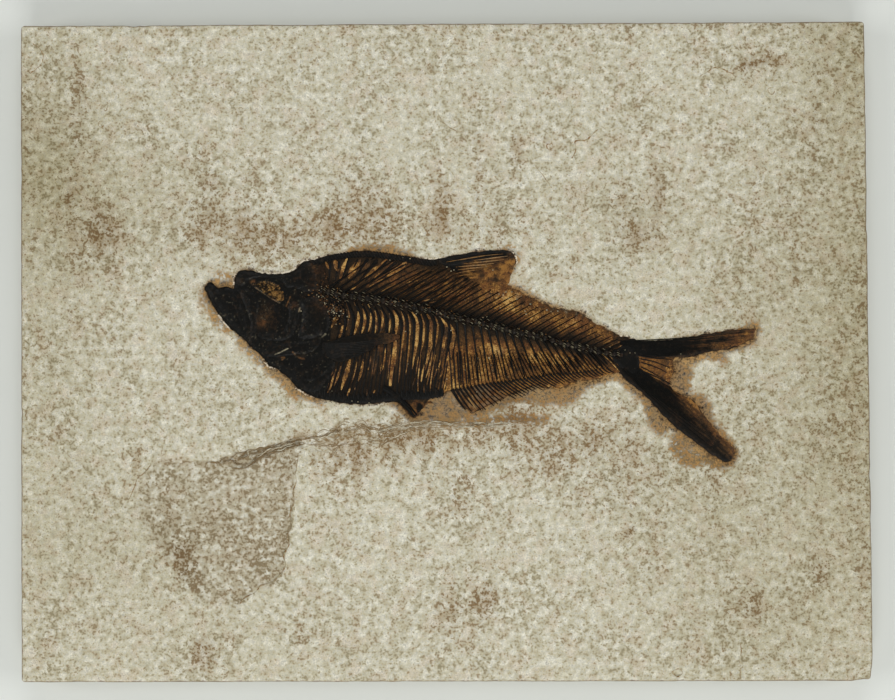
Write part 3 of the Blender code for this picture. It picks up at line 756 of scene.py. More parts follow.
# Brown stains: centre, half widths and strength.
stains = [
    (-166, 57, 11, 14, 0.85), (-178, 122, 4, 20, 0.35), (-180, 77, 4, 11, 0.6), (-112, 62, 16, 18, 0.3),
    (-119, 95, 6, 14, 0.25), (-46, 72, 10, 20, 0.55), (-29, 66, 9, 14, 0.5), (-4.5, 76, 5, 14, 0.8),
    (-5, 62, 9, 8, 0.4), (16, 86, 4, 16, 0.45), (34, 97, 3.5, 12, 0.5), (58, 90, 4, 8, 0.3),
    (83, 70, 8, 14, 0.45), (101.5, 80, 4, 17, 0.75), (93, 56, 12, 8, 0.4), (153, 140, 8, 4, 0.9),
    (144, 137, 5, 3, 0.6), (62, 42, 10, 8, 0.4), (-56, 60, 14, 9, 0.4), (-84, 57, 12, 9, 0.4),
    (168, 60, 5, 30, 0.3), (178, 110, 4, 30, 0.3), (148, 70, 4, 24, 0.25), (22, -38, 26, 7, 0.6),
    (36, -27, 12, 7, 0.8), (69, -42, 7, 9, 0.7), (7, -70, 12, 14, 0.4), (48, -52, 12, 12, 0.45),
    (-47, -50, 17, 12, 0.6), (-18, -40, 14, 6, 0.6), (4, -124, 15, 12, 0.6), (20, -118, 8, 8, 0.4),
    (-128, -100, 7, 8, 0.8), (146, -122, 6, 10, 0.7), (180, -104, 5, 9, 0.5), (88, -88, 3, 4, 0.7),
    (-116, -145, 6, 9, 0.6), (-70, -137, 5, 10, 0.35), (184, -38, 5, 16, 0.4), (-160, 37, 3, 4, 0.5),
    (-150, -55, 5, 10, 0.45), (128, -60, 10, 8, 0.3), (200, 0, 5, 140, 0.3), (0, 158, 200, 5, 0.25),
    (-204, 0, 4, 150, 0.25), (-100, 54, 22, 16, 0.35), (-58, 56, 44, 14, 0.3), (4, 60, 34, 16, 0.3),
    (-4, -46, 60, 14, 0.3), (92, -52, 32, 22, 0.35), (128, -14, 16, 18, 0.25),
]
# Broad tan shades over the stone, mostly towards its edges: centre, half widths and strength.
tints = [
    (205, 10, 48, 150, 0.9), (205, 150, 40, 40, 0.5), (-205, 92, 34, 48, 0.65), (-150, 72, 44, 30, 0.4),
    (-190, -95, 40, 34, 0.3), (-135, -92, 32, 26, 0.3), (-190, 20, 30, 130, 0.35),
    (122, -68, 48, 44, 0.4), (146, -132, 48, 34, 0.4), (140, 26, 26, 24, 0.3), (96, 62, 34, 24, 0.3),
    (-110, -140, 60, 24, 0.2),
]
# Chips broken from the rim: place, radius, depth.
chips = [
    (-151, 156, 3.6, 2.6), (-146, 156.6, 2.6, 1.6), (-75, 157, 3.4, 0.9), (-64, 157, 3, 0.7),
    (43, 157.6, 3.4, 1), (203, -157, 7.5, 3.6), (-178, -158.4, 2.4, 1), (112, -157.4, 2.8, 0.9),
    (-204, 84, 2.4, 1), (-204, -30, 2, 0.7), (202.5, 60, 2.6, 1), (203.2, -60, 2.4, 0.9),
    (-30, -158, 2.4, 0.7), (160, 158, 2.6, 0.8),
]

# Where brown has soaked into the stone beyond the fish: its strength, then its outline on the tracing grid.
tracedSoaks = [
    (1, [(606, 376), (614, 377), (622, 382), (632, 392), (642, 399), (645, 402), (646, 410),
        (650, 420), (655, 429), (662, 434), (667, 430), (672, 428), (680, 433), (690, 440),
        (700, 447), (692, 437), (675, 420), (655, 402), (635, 383), (618, 370)]),
    (0.75, [(674, 436), (672, 442), (674, 450), (680, 457), (686, 464), (694, 466), (702, 462),
        (712, 464), (718, 468), (726, 466), (728, 461), (715, 455), (700, 446), (690, 438),
        (682, 434)]),
    (1.15, [(670, 386), (680, 391), (690, 396), (696, 397), (703, 398), (708, 402), (711, 408),
        (712, 418), (716, 425), (722, 432), (729, 440), (733, 446), (736, 452), (735, 460),
        (730, 465), (726, 466), (727, 460), (715, 445), (700, 428), (690, 412), (680, 400),
        (668, 390)]),
    (1.25, [(670, 360), (678, 359), (684, 362), (690, 370), (691, 376), (688, 382), (690, 390),
        (684, 393), (676, 389), (668, 387), (664, 375)]),
    (0.8, [(668, 357), (680, 363), (690, 366), (698, 361), (706, 357), (716, 358), (722, 361),
        (727, 357), (723, 350), (735, 350), (745, 347), (753, 343), (757, 336), (760, 330),
        (757, 324), (750, 325), (740, 332), (720, 338), (690, 348)]),
    (1, [(427, 397), (440, 398), (455, 397), (466, 412), (480, 416), (500, 408), (520, 400),
        (560, 404), (578, 396), (590, 386), (610, 380), (604, 372), (560, 383), (520, 388),
        (480, 390), (455, 388)]),
    (0.6, [(211, 282), (217, 275), (223, 272), (229, 276), (233, 283), (232, 289), (222, 289),
        (214, 286)]),
    (0.9, [(260, 358), (263, 366), (270, 374), (280, 381), (287, 389), (294, 396), (304, 397),
        (312, 402), (322, 405), (312, 394), (296, 382), (278, 366), (268, 360)]),
    (0.85, [(345, 254), (355, 249), (370, 246), (385, 247), (397, 249), (410, 254), (412, 259),
        (390, 257), (370, 255), (350, 257)]),
    (0.55, [(503, 251), (510, 247), (516, 250), (518, 256), (516, 264), (512, 270), (510, 262)]),
    (0.9, [(500, 289), (515, 286), (525, 291), (538, 299), (548, 305), (557, 308), (550, 316),
        (530, 307), (510, 297)]),
    (0.6, [(203, 292), (201, 302), (207, 306), (212, 318), (220, 326), (228, 331), (222, 322),
        (212, 304), (207, 290)]),
    (0.7, [(236, 338), (242, 346), (250, 354), (256, 362), (263, 364), (258, 352), (246, 340)]),
]
soaks = [(strength, traced(outline)) for strength, outline in tracedSoaks]
# Three more, in millimetres.
soaks += [
    (1.25, [(-26, -24.5), (-22.5, -28.6), (-18, -32.6), (-11.5, -33.2), (-4, -33.2), (5, -32.8),
        (11, -31.6), (6.5, -27), (2.5, -23), (0, -20), (-8, -22), (-16, -24)]),
    (1.4, [(-10, -22.8), (-5, -24.8), (0.5, -23.6), (4.5, -21.5), (3, -18), (-3, -19)]),
    (0.8, [(-2, -33), (12, -32.2), (30, -31.4), (47.5, -32), (46, -33.6), (30, -33.6), (12, -35),
        (-2, -35.2)]),
]


def netLines(low, high, fineLow, fineHigh, fine, coarse):
    # Lines close together in the fine stretch and at the two ends, and wider apart between them.
    rim = np.array([0, 0.4, 0.9, 1.5, 2.3, 3.4])
    left = np.linspace(low + 5, fineLow, max(2, round((fineLow - low - 5) / coarse)))
    middle = np.linspace(fineLow, fineHigh, round((fineHigh - fineLow) / fine))
    right = np.linspace(fineHigh, high - 5, max(2, round((high - 5 - fineHigh) / coarse)))
    return np.unique(np.round(np.concatenate([low + rim, left, middle, right, high - rim]), 6))


def openFace(x, y):
    # The slab's face away from the fish: its height plus broad and fine relief.
    relief = roughNoise(x, y, 30, 21, 2) * 0.7 + roughNoise(x, y, 4.5, 31, 3) * 0.75
    return faceHeight + slab["relief"] * relief


def stoneHeight(x, y, rim, fish, patch, patchAmount, ledge, ledgeAcross, step):
    # The open face with the worn rim, the chips, the flaked patch, the ledge, and the hollow of the fish.
    z = openFace(x, y)
    z -= step["rimDrop"] * np.clip(1 - rim / step["rimWidth"], 0, 1) ** 2
    z -= 0.5 * np.exp(-rim / 2.5) * (roughNoise(x, y, 5, 41, 3) > 0.15) * 0.5
    for chipX, chipY, radius, depth in chips:
        away = np.hypot(x - chipX, y - chipY) / radius + 0.25 * roughNoise(x, y, 2, 51, 2)
        z -= depth * np.clip(1 - away, 0, 1) ** 0.7
    z -= step["patchDrop"] * patchAmount * ease(patch + roughNoise(x, y, 3, 61, 2) * 0.5, -2, 0.7)
    z += ledge * 0.22 * (0.5 - np.abs(roughNoise(x * 0.12, ledgeAcross, 1.1, 71, 2)) * 2)
    z -= 0.22 * np.exp(-np.maximum(fish, 0) / 1.6)
    return z - 1.15 * ease(-fish, 0.05, 1.6)


def slabNet(shape):
    # A square net over the face: its corners are drawn into quarter circles, its edge wanders inwards a
    # little, and the whole is stretched between the four corners. rim is the distance from the net's edge.
    farX, farY = shape["halfSize"]
    u = netLines(-farX, farX, *shape["fineX"], shape["fineStep"], shape["coarseStep"])
    v = netLines(-farY, farY, *shape["fineY"], shape["fineStep"], shape["coarseStep"])
    squareX, squareY = np.meshgrid(u, v)
    radius = shape["cornerRadius"]
    q = np.stack([radius - (farX - np.abs(squareX)), radius - (farY - np.abs(squareY))]) / radius
    q = np.clip(q, 0, None)
    both = (q > 0).all(0)
    longest = np.maximum(q[0], q[1])
    shrink = np.where(both, longest / np.maximum(np.hypot(q[0], q[1]), 1e-9), 1)
    squareX = np.where(both, np.sign(squareX) * (farX - radius + q[0] * shrink * radius), squareX)
    squareY = np.where(both, np.sign(squareY) * (farY - radius + q[1] * shrink * radius), squareY)
    toSide, toEnd = farX - np.abs(squareX), farY - np.abs(squareY)
    rim = np.minimum(toSide, toEnd)
    wander = shape["edgeWobble"] * (0.5 + 0.5 * roughNoise(squareX, squareY, 9, 5, 3))
    hold = np.clip(1 - rim / 5, 0, 1) ** 2
    squareX = squareX - np.sign(squareX) * wander * hold * (toSide <= toEnd + 2)
    squareY = squareY - np.sign(squareY) * wander * hold * (toEnd <= toSide + 2)
    s, t = (squareX + farX) / (farX + farX), (squareY + farY) / (farY + farY)
    c = np.array(shape["corners"])
    x, y = (
        (c[0, k] * (1 - s) + c[1, k] * s) * (1 - t) + (c[3, k] * (1 - s) + c[2, k] * s) * t for k in range(2)
    )
    return x, y, rim


def ledgeStrength(x, y):
    # Each ledge is a bell-shaped band along its line, stronger over some stretches than over others.
    ledge = np.zeros(x.shape)
    for line, width in zip(ledges, (2.4, 2.2)):
        away, share = nearLine(x, y, smoothLine(line, 60))
        strength = np.interp(share, [0, 0.3, 0.45, 0.62, 0.8, 1], [0.6, 0.9, 1.2, 1.1, 1.1, 0.7])
        ledge += strength * np.exp(-((away / width) ** 2)) * (0.8 + 0.4 * softNoise(x, y * 2.5, 5, 81))
    return ledge


def patchStrength(x, y, patch):
    # The patch is sharp along its right side and its top, and fades out to the left and below.
    right = ease(x, -110, -85) * ease(y, -118, -100)
    sharp = np.clip(right + ease(y, -64, -56) * ease(x, -150, -132), 0, 1)
    fade = ease(patch + 7 * roughNoise(x, y, 9, 221, 3), -4, 5)
    return blend(fade, ease(patch, -0.5, 0.6), sharp) * (0.85 + 0.3 * softNoise(x, y, 14, 223))


def slabSides(rimLine, shape):
    # The sides, where each bed steps in or out a little, then the underside: the last row of the sides drawn
    # in towards the middle, ring by ring.
    along = np.roll(rimLine[:, :2], -1, axis=0) - np.roll(rimLine[:, :2], 1, axis=0)
    inward = np.stack([-along[:, 1], along[:, 0]], axis=1) / np.linalg.norm(along, axis=1)[:, None]
    run = np.concatenate([[0], np.cumsum(np.linalg.norm(np.diff(rimLine[:, :2], axis=0), axis=1))])
    levels = np.linspace(1, 0, shape["sideRows"] + 1)[1:]
    bedShift = np.random.default_rng(7).random(shape["sideRows"])
    rows = []
    for k, level in enumerate(levels):
        drift = 0.5 + 0.5 * roughNoise(run, run * 0 + level * 60, 11, 3, 4)
        inset = shape["bedDepth"] * (0.35 * bedShift[k] + 0.5 * drift)
        inset = inset + (0.5 if level == 0 else 0)
        flat = rimLine[:, :2] + inward * inset[:, None]
        rows.append(np.column_stack([flat, rimLine[:, 2] * level]))
    foot = rows[-1]
    for share in np.linspace(0, 1, shape["undersideRings"] + 1)[1:] ** 1.3 * 0.985:
        ring = foot[:, :2] * (1 - share)
        lift = 0.28 * (0.5 + 0.5 * roughNoise(ring[:, 0], ring[:, 1], 14, 121, 3)) * min(1, share * 20)
        rows.append(np.column_stack([ring, lift]))
    return np.concatenate(rows)


def makeSlab(shape):
    # The face, its heights and its named values, closed by the sides and the underside.
    x, y, rim = slabNet(shape)
    near = (x > -135) & (x < 168) & (y > -72) & (y < 68)
    fish = np.full(x.shape, 14.0)
    fish[near] = np.clip(-rimDistance(x[near], y[near], fishOutline), -14, 14)
    patch = np.clip(rimDistance(x, y, smoothLine(peeledPatch, 120, closed=True)), -14, 14)
    patchAmount = patchStrength(x, y, patch)
    ledge = ledgeStrength(x, y)
    z = stoneHeight(x, y, rim, fish, patch, patchAmount, ledge, y - heightOf(ledges[0], x), shape)
    streaks = roughNoise(x, y * 0.22, 8, 91, 3)
    stain = patches(x, y, stains) * (0.8 + 0.5 * streaks) + 0.18 * np.clip(streaks, 0, 1)
    halo = 0.15 + 0.5 * roughNoise(x, y, 9, 101, 3) + patches(x, y, haloSpots)
    soak, soakStrength = np.full(x.shape, -9.0), np.zeros(x.shape)
    for strength, outline in soaks:
        inside = np.full(x.shape, -9.0)
        inside[near] = rimDistance(x[near], y[near], smoothLine(outline, 60, closed=True))
        soakStrength = np.where(inside > soak, strength, soakStrength)
        soak = np.maximum(soak, inside)
    rows, columns = x.shape
    face = np.arange(rows * columns).reshape(rows, columns)
    loop = np.concatenate([face[0, :-1], face[:-1, -1], face[-1, :0:-1], face[:0:-1, 0]])
    top = np.stack([x.ravel(), y.ravel(), z.ravel()], axis=1)
    shell = slabSides(top[loop], shape)
    points = np.concatenate([top, shell, [[0, 0, 0.1]]])
    bands = np.concatenate([loop[None], len(top) + np.arange(len(shell)).reshape(-1, len(loop))])
    onward = np.roll(bands, -1, axis=1)
    walls = np.stack([bands[:-1], bands[1:], onward[1:], onward[:-1]], axis=-1).reshape(-1, 4)
    pole = np.full(len(loop), len(points) - 1)
    cap = np.stack([bands[-1], pole, onward[-1]], axis=1)
    # each value over the face, and its one value over the sides and the underside
    faceValues = {
        "fishEdge": (fish, 14),
        "halo": (np.clip(halo, -0.3, 2.2), 0),
        "soak": (np.clip(soak, -9, 3), -9),
        "soakStrength": (soakStrength, 0),
        "chalk": (np.clip(patches(x, y, chalkAndEdgeGlintSpots), 0, 1), 0),
        "patch": (np.clip(patchAmount, 0, 1), 0),
        "ledge": (np.clip(ledge, 0, 1), 0),
        "stain": (np.clip(stain, 0, 1.4), 0.2),
        "tint": (np.clip(patches(x, y, tints), 0, 1), 0.3),
        "rim": (rim, 3),
        "side": (np.zeros(x.shape), 1),
    }
    values = {}
    for key, (onFace, elsewhere) in faceValues.items():
        values[key] = np.concatenate([onFace.ravel(), np.full(len(points) - len(top), elsewhere)])
    part = (points, [gridFaces(rows, columns), walls, cap], values)
    newPiece("limestone_slab_stone", [part], limestone, ["limestone_slab"], 60)


# Where the brown halo round the fish is wide, and where the cut edge is pale: chalky stone in places, and a
# painted highlight where the edge catches the light.
haloSpots = [
    (-117, 23, 4, 4, 0.7), (-107, 32, 5, 4, 1), (-72, -20, 12, 12, 0.35), (-15, -29, 9, 5, 0.9),
    (4, -26, 6, 4, 0.6), (16, -30, 6, 5, 0.5), (36, -22, 12, 4, 0.7), (58, -17, 14, 4, 0.9),
    (76, -14, 10, 4, 0.8), (90, -20, 8, 8, 0.8), (104, -37, 7, 8, 1.1), (112, -46, 10, 6, 1.3),
    (124, -53, 8, 6, 1.2), (138, -52, 6, 6, 0.9), (114, -12, 7, 9, 1.5), (120, -4, 12, 4, 0.7),
    (122, -22, 6, 8, 0.9), (134, -38, 6, 10, 0.5), (147, 5, 7, 5, 0.7), (36, 33, 6, 8, 0.3),
    (46, 25, 10, 4, 0.7), (62, 21, 10, 5, 0.8), (-20, 49, 14, 4, 0.4), (-52, 49, 14, 4, 0.3),
    (-90, 42, 10, 4, 0.3),
]
chalkAndEdgeGlintSpots = [
    (-82, 38, 14, 3, 0.9), (-66, 44, 7, 3, 1.1), (-52, 47, 12, 3, 0.5), (-102, 34, 2.5, 4, 0.5),
    (-107, 14, 5, 6, 0.8), (-86, -7, 6, 5, 0.8), (-70, -20, 8, 6, 0.6), (-6.5, 44.5, 5, 3, 1.1),
    (33, 45, 3, 6, 0.7), (88, 7, 8, 3, 0.5),
]
makeSlab(slab)


def makeThreads():
    # A thin sliver along each line and round each ring, ragged and in places almost gone.
    lines = [(halfWidth, smoothLine(points, 40)) for halfWidth, points in threads]
    turn = np.linspace(0, 2 * math.pi * 0.97, 40)
    for ringX, ringY, radius in rings:
        wobble = radius * (1 + 0.12 * np.sin(turn * 3 + ringX))
        ring = np.stack([ringX + wobble * np.cos(turn), ringY + wobble * np.sin(turn)], axis=1)
        lines.append((0.24, ring))
    parts = []
    for k, (halfWidth, path) in enumerate(lines):
        shift = [roughNoise(path[:, 0], path[:, 1], 1.6, 810 + k + 50 * n, 2) for n in (0, 1)]
        path = path + 0.3 * np.stack(shift, axis=1)
        swell = 0.75 + 1.3 * roughNoise(path[:, 0], path[:, 1], 1.8, 830 + k, 2)
        wide = halfWidth * np.clip(swell, 0.12, 1.4)
        parts.append(laidBones(path, wide, 0.08, {"light": 0, "lamina": 0}, 5, 0.15, bed=openFace))
    newPiece("brown_threads", parts, brownThread)


ledgeStrands = {
    "count": 170,
    "halfWidth": 0.26,
    "wave": 0.55,
    "shares": [0, 0.06, 0.13, 0.2, 0.3, 0.38, 0.46, 0.56, 0.67, 1],
    # half the height of the bundle at those shares of its length
    "swell": [0.4, 3, 3.6, 2, 2.6, 5.6, 6, 3.2, 1.8, 1],
}


def makeLedge(shape):
    # Torn laminae: short stretches of the ledge's line, each shifted across it by a slow wave of its own.
    rng = np.random.default_rng(19)
    line = smoothLine(ledges[0], 400)
    share = np.linspace(0, 1, 400)
    paths, wides, lights = [], [], []
    for k in range(shape["count"]):
        half = rng.uniform(0.012, 0.07)
        middle = half + (1 - 2 * half) * rng.beta(1.25, 1.6)
        at = np.linspace(middle - half, middle + half, 24)
        x, y = np.interp(at, share, line[:, 0]), np.interp(at, share, line[:, 1])
        # more of the strands lie near the top of the bundle
        across = 1 - 2 * rng.random() ** 1.8 + shape["wave"] * softNoise(x, x * 0 + k, 5, 900 + k)
        swell = np.interp(at, shape["shares"], shape["swell"])
        y = y + (across - 0.8) * swell + 0.5 * roughNoise(x, x * 0 + k, 2.2, 1100 + k, 2)
        paths.append(np.stack([x, y], axis=1))
        taper = np.sin(math.pi * np.linspace(0.04, 0.96, 24)) ** 0.7
        wide = shape["halfWidth"] * rng.uniform(0.4, 1.1) * taper
        wides.append(wide * (1 + 0.8 * roughNoise(x, y, 1.6, 930, 2)))
        lights.append(np.full(24, rng.choice([0.0, 0.25, 0.6, 1.0], p=[0.52, 0.22, 0.1, 0.16])))
    values = {"light": np.array(lights), "lamina": np.ones((shape["count"], 24))}
    wides = np.array(wides).clip(0.04)
    strands = laidBones(np.array(paths), wides, 0.06, values, 5, 0.12, 0.02, bed=openFace)
    newPiece("ledge_laminae", [strands], brownThread)


makeThreads()
makeLedge(ledgeStrands)
print("stage: slab")


# How golden the film is over each part of the fish, and where it is pale: centre, half widths and strength.
filmTones = [
    (-16, 33, 14, 9, 0.22), (4, 29, 14, 9, 0.28), (24, 22, 14, 8, 0.34), (26, 38, 10, 8, 0.5),
    (30, 27, 7, 3, 0.3), (38, 20, 12, 6, 0.28), (54, 13, 14, 6, 0.42), (72, 7, 10, 5, 0.4),
    (42, 16, 4, 4, 0.2), (-30, 6, 28, 20, 0.17), (2, -9, 5, 12, 0.25), (-40, 36, 24, 9, 0.16),
    (50, 14, 30, 12, 0.14), (40, -4, 34, 12, 0.12), (3, -17, 6, 6, 0.35), (12, 2, 8, 12, 0.26),
    (23, 1.5, 4, 4.5, 0.42), (29, 0.5, 3.5, 3.5, 0.4), (34, 0, 3, 6, -0.1), (43, -2, 4, 4, 0.35),
    (54, -3, 5, 4, 0.35), (30, -5, 22, 12, 0.22), (46, -5.5, 8, 4, 0.2), (62, -6, 12, 5, 0.35),
    (18, -10, 12, 6, 0.25), (14, -20, 12, 6, 0.6), (76, -11, 9, 4, 0.6), (50, -16, 18, 3.5, 0.6),
    (-14, -28, 5, 4, 0.45), (106, -9, 8, 8, 0.5), (128, -32, 8, 12, 0.3), (143, 9, 8, 4, 0.6),
    (136, -47, 5, 5, 0.5),
]
filmPale = [(56, 18, 8, 3, 0.3), (30, 27, 7, 2.5, 0.5), (22, -4, 8, 6, 0.2)]
# Golden gaps between the bones: half width, how golden, then the places down the gap on the tracing grid.
windows = [
    (0.36, 0.35, [(346, 303), (349, 315), (346, 330)]),
    (0.77, 0.6, [(354, 302), (359, 312), (357, 325), (354, 335)]),
    (0.72, 0.55, [(362, 304), (365, 315), (364, 325), (361, 334)]),
    (0.55, 0.8, [(368, 304), (371, 314), (370, 325), (368, 332)]),
    (0.46, 0.8, [(374, 306), (376, 315), (376, 325), (375, 333)]),
    (0.62, 0.6, [(380, 306), (383, 315), (382, 325), (380, 333)]),
    (0.24, 0.45, [(385, 318), (386, 325), (385, 333)]),
    (0.48, 0.65, [(389, 310), (390, 320), (389, 333)]),
    (0.91, 0.6, [(393, 310), (397, 318), (396, 330), (396, 336)]),
    (0.55, 0.45, [(401, 311), (404, 320), (404, 330), (402, 345), (400, 360), (399, 375), (398, 384)]),
    (0.62, 0.45, [(408, 314), (410, 325), (409, 340), (408, 355), (406, 370), (405, 376)]),
    (0.96, 0.62, [(412, 312), (417, 320), (417, 335), (415, 350), (413, 362), (412, 369)]),
    (0.62, 0.5, [(421, 314), (424, 325), (423, 340), (421, 350), (418, 362), (416, 374)]),
    (1.1, 0.48, [(427, 314), (431, 322), (430, 335), (430, 345), (428, 355), (425, 370)]),
    (0.72, 0.5, [(435, 316), (438, 325), (437, 335), (435, 345), (433, 355), (430, 370), (427, 385)]),
    (1.01, 0.68, [(441, 318), (446, 325), (446, 332), (443, 345), (441, 355), (438, 370)]),
    (1.01, 0.45, [(450, 324), (454, 333), (453, 342), (449, 355), (445, 366), (441, 376)]),
    (0.86, 0.55, [(385, 348), (384, 358), (382, 368), (380, 374)]),
    (1.58, 0.58, [(395, 336), (394, 350), (392, 364), (390, 378), (390, 386)]),
    (1.06, 0.28, [(379, 343), (376, 358), (374, 368), (372, 378)]),
    (0.48, 0.5, [(371, 356), (370, 363), (368, 370)]),
    (1.01, 0.6, [(363, 359), (361, 370), (358, 381)]),
    (0.36, 0.5, [(357, 362), (355, 372), (351, 384)]),
    (1.06, 0.62, [(350, 358), (348, 368), (345, 377), (341, 390)]),
    (0.58, 0.45, [(341, 366), (338, 376), (334, 386)]),
    (0.48, 0.6, [(336, 369), (333, 378), (330, 388), (327, 393)]),
    (0.62, 0.5, [(350, 388), (348, 394), (346, 401)]),
    (0.29, 0.4, [(367, 389), (367, 395), (367, 399)]),
    (0.38, 0.5, [(375, 390), (374, 392), (373, 394)]),
    (0.38, 0.35, [(356, 386), (355, 389), (355, 391)]),
    (0.82, 0.55, [(343, 325), (342, 331), (339, 338)]),
    (0.67, 0.6, [(336, 315), (334, 320), (331, 328)]),
    (0.38, 0.85, [(421, 355), (419, 368), (418, 380), (418, 392)]),
    (0.58, 0.85, [(429, 352), (426, 362), (423, 372), (421, 382)]),
    (0.41, 0.8, [(432, 358), (429, 368), (426, 378)]),
    (0.34, 0.6, [(436, 354), (433, 368), (431, 380), (430, 392)]),
    (0.36, 0.55, [(440, 360), (437, 370), (433, 380)]),
    (0.41, 0.5, [(445, 366), (442, 373), (439, 379)]),
    (0.43, 0.55, [(444, 382), (442, 388), (440, 392)]),
    (0.29, 0.4, [(415, 378), (413, 385), (412, 392)]),
    (0.34, 0.5, [(408, 358), (406, 368), (405, 378)]),
    (0.26, 0.4, [(424, 384), (424, 390), (424, 394)]),
    (1.5, 0.5, [(451, 360), (449.5, 372), (448.2, 380.7), (447.8, 388.6)]),
    (0.58, 0.5, [(325, 261), (327, 265), (330, 270)]),
    (1.1, 0.4, [(334, 259), (336, 265), (338, 272)]),
    (0.96, 0.62, [(347, 258), (344, 266), (342, 272), (340, 279)]),
    (1.49, 0.5, [(360, 258), (356, 265), (352, 271), (348, 278)]),
    (0.48, 0.8, [(351, 270), (350, 274), (348, 278)]),
    (1.1, 0.22, [(371, 258), (367, 265), (361, 273)]),
    (1.06, 0.5, [(387, 259), (380, 266), (373, 271), (364, 279)]),
    (0.58, 0.4, [(393, 262), (386, 268), (380, 273), (374, 278)]),
    (1.44, 0.6, [(407, 261), (402, 266), (395, 271), (387, 276)]),
    (0.34, 0.6, [(383, 279), (375, 283), (369, 287)]),
    (0.36, 0.6, [(371, 280), (366, 284), (360, 287)]),
    (0.36, 0.5, [(358, 285), (354, 288), (350, 290)]),
    (0.86, 0.45, [(401, 274), (395, 279), (390, 283)]),
    (0.53, 0.45, [(414, 271), (405, 276), (398, 280)]),
    (0.58, 0.5, [(412, 281), (405, 284), (397, 289)]),
    (0.29, 0.5, [(396, 284), (388, 288), (381, 292)]),
    (0.31, 0.4, [(435, 285), (426, 288), (417, 292)]),
    (0.31, 0.55, [(434, 299), (428, 300), (422, 301)]),
    (0.38, 0.4, [(458, 290), (450, 294), (443, 297)]),
    (0.29, 0.5, [(438, 301), (434, 302), (429, 303)]),
    (0.24, 0.6, [(462, 390), (470, 400), (477, 410)]),
    (0.24, 0.6, [(466, 388), (474, 398), (481, 408)]),
    (0.26, 0.7, [(601, 353), (611, 362), (620, 372)]),
    (0.24, 0.7, [(606, 352), (614, 360), (621, 368)]),
    (0.22, 0.8, [(611, 353), (617, 359), (622, 365)]),
    (0.29, 0.5, [(603, 344), (609, 341), (615, 338)]),
    (0.29, 0.5, [(609, 347), (617, 343), (624, 340)]),
    (0.29, 0.6, [(616, 349), (623, 345), (631, 341)]),
]


def filmValues(x, y, d):
    # Gold in soft patches, darkened along the backbone, with streaks across the body.
    gold = patches(x, y, filmTones)
    fromSpine, _ = nearLine(x, y, spineCurve[::3])
    above = (y > heightOf(spineCurve[::3], x)) * ease(x, 2, 20) * ease(-x, -82, -58)
    gold *= 1 - 0.94 * np.exp(-((fromSpine / (4.2 + 3.2 * above)) ** 2))
    gold *= 1 + 0.5 * above * roughNoise(x, y, 5, 145, 2)
    gold *= 1 + 0.5 * roughNoise(x, y * 0.3, 1.8, 141, 3)
    pale = patches(x, y, filmPale) * ease(roughNoise(x, y * 0.3, 1.6, 151, 2), 0.1, 0.5)
    return {"gold": np.clip(gold, 0, 1.1), "pale": np.clip(pale, 0, 0.7)}


def filmTop(x, y, d):
    # The body height, with the roughness of squeezed skin.
    return bodyHeight(x, y) + 0.07 * roughNoise(x, y * 0.4, 1.3, 161, 2) * ease(d, 0, 1)


film = plate(fishOutline, 0.58, filmTop, lambda x, y, d: np.full(len(x), 12.85), filmValues)


def makeWindows():
    # A flat sliver along each gap, ragged at both sides and narrow at both ends.
    share = np.linspace(0, 1, 16)
    parts = []
    for k, (halfWidth, gold, line) in enumerate(windows):
        path = smoothLine(traced(line), 16)
        ragged = 1 + 0.35 * roughNoise(path[:, 0], path[:, 1], 1.5, 500 + k, 2)
        width = halfWidth * np.sin(math.pi * (0.05 + 0.9 * share)) ** 0.6 * ragged
        tone = gold * (1.02 + 1.1 * roughNoise(path[:, 0], path[:, 1], 3.4, 600 + k, 2))
        parts.append(laidBones(path, width * 1.12, 0.2, {"gold": tone, "pale": 0}, 5, 0.3, 0.12))
    return parts


newPiece("body_film_skin", [film, *makeWindows()], goldenFilm, ["body_film"], 40)
print("stage: film")


def bonePiece(name, parts, *nodes):
    newPiece(name, parts, blackBone, nodes)


backbone = {
    "count": 39,
    "stationsPer": 8,
    "radius": 1.85,
    "taper": 0.24,
    "waist": 0.72,
    "height": 1.15,
    "firstHaemal": 17,
    "neuralSlopes": ([-55, -40, 0, 45, 80], [34, 28, 31, 31, 25]),
    "haemalSlopes": ([8, 15, 27, 34, 42, 54, 74], [86, 82, 76, 70, 61, 55, 46]),
    "clearance": 1.6,  # from the tip of a neural spine to the back
    "rungs": 6,
    "ladder": 2.3,
}


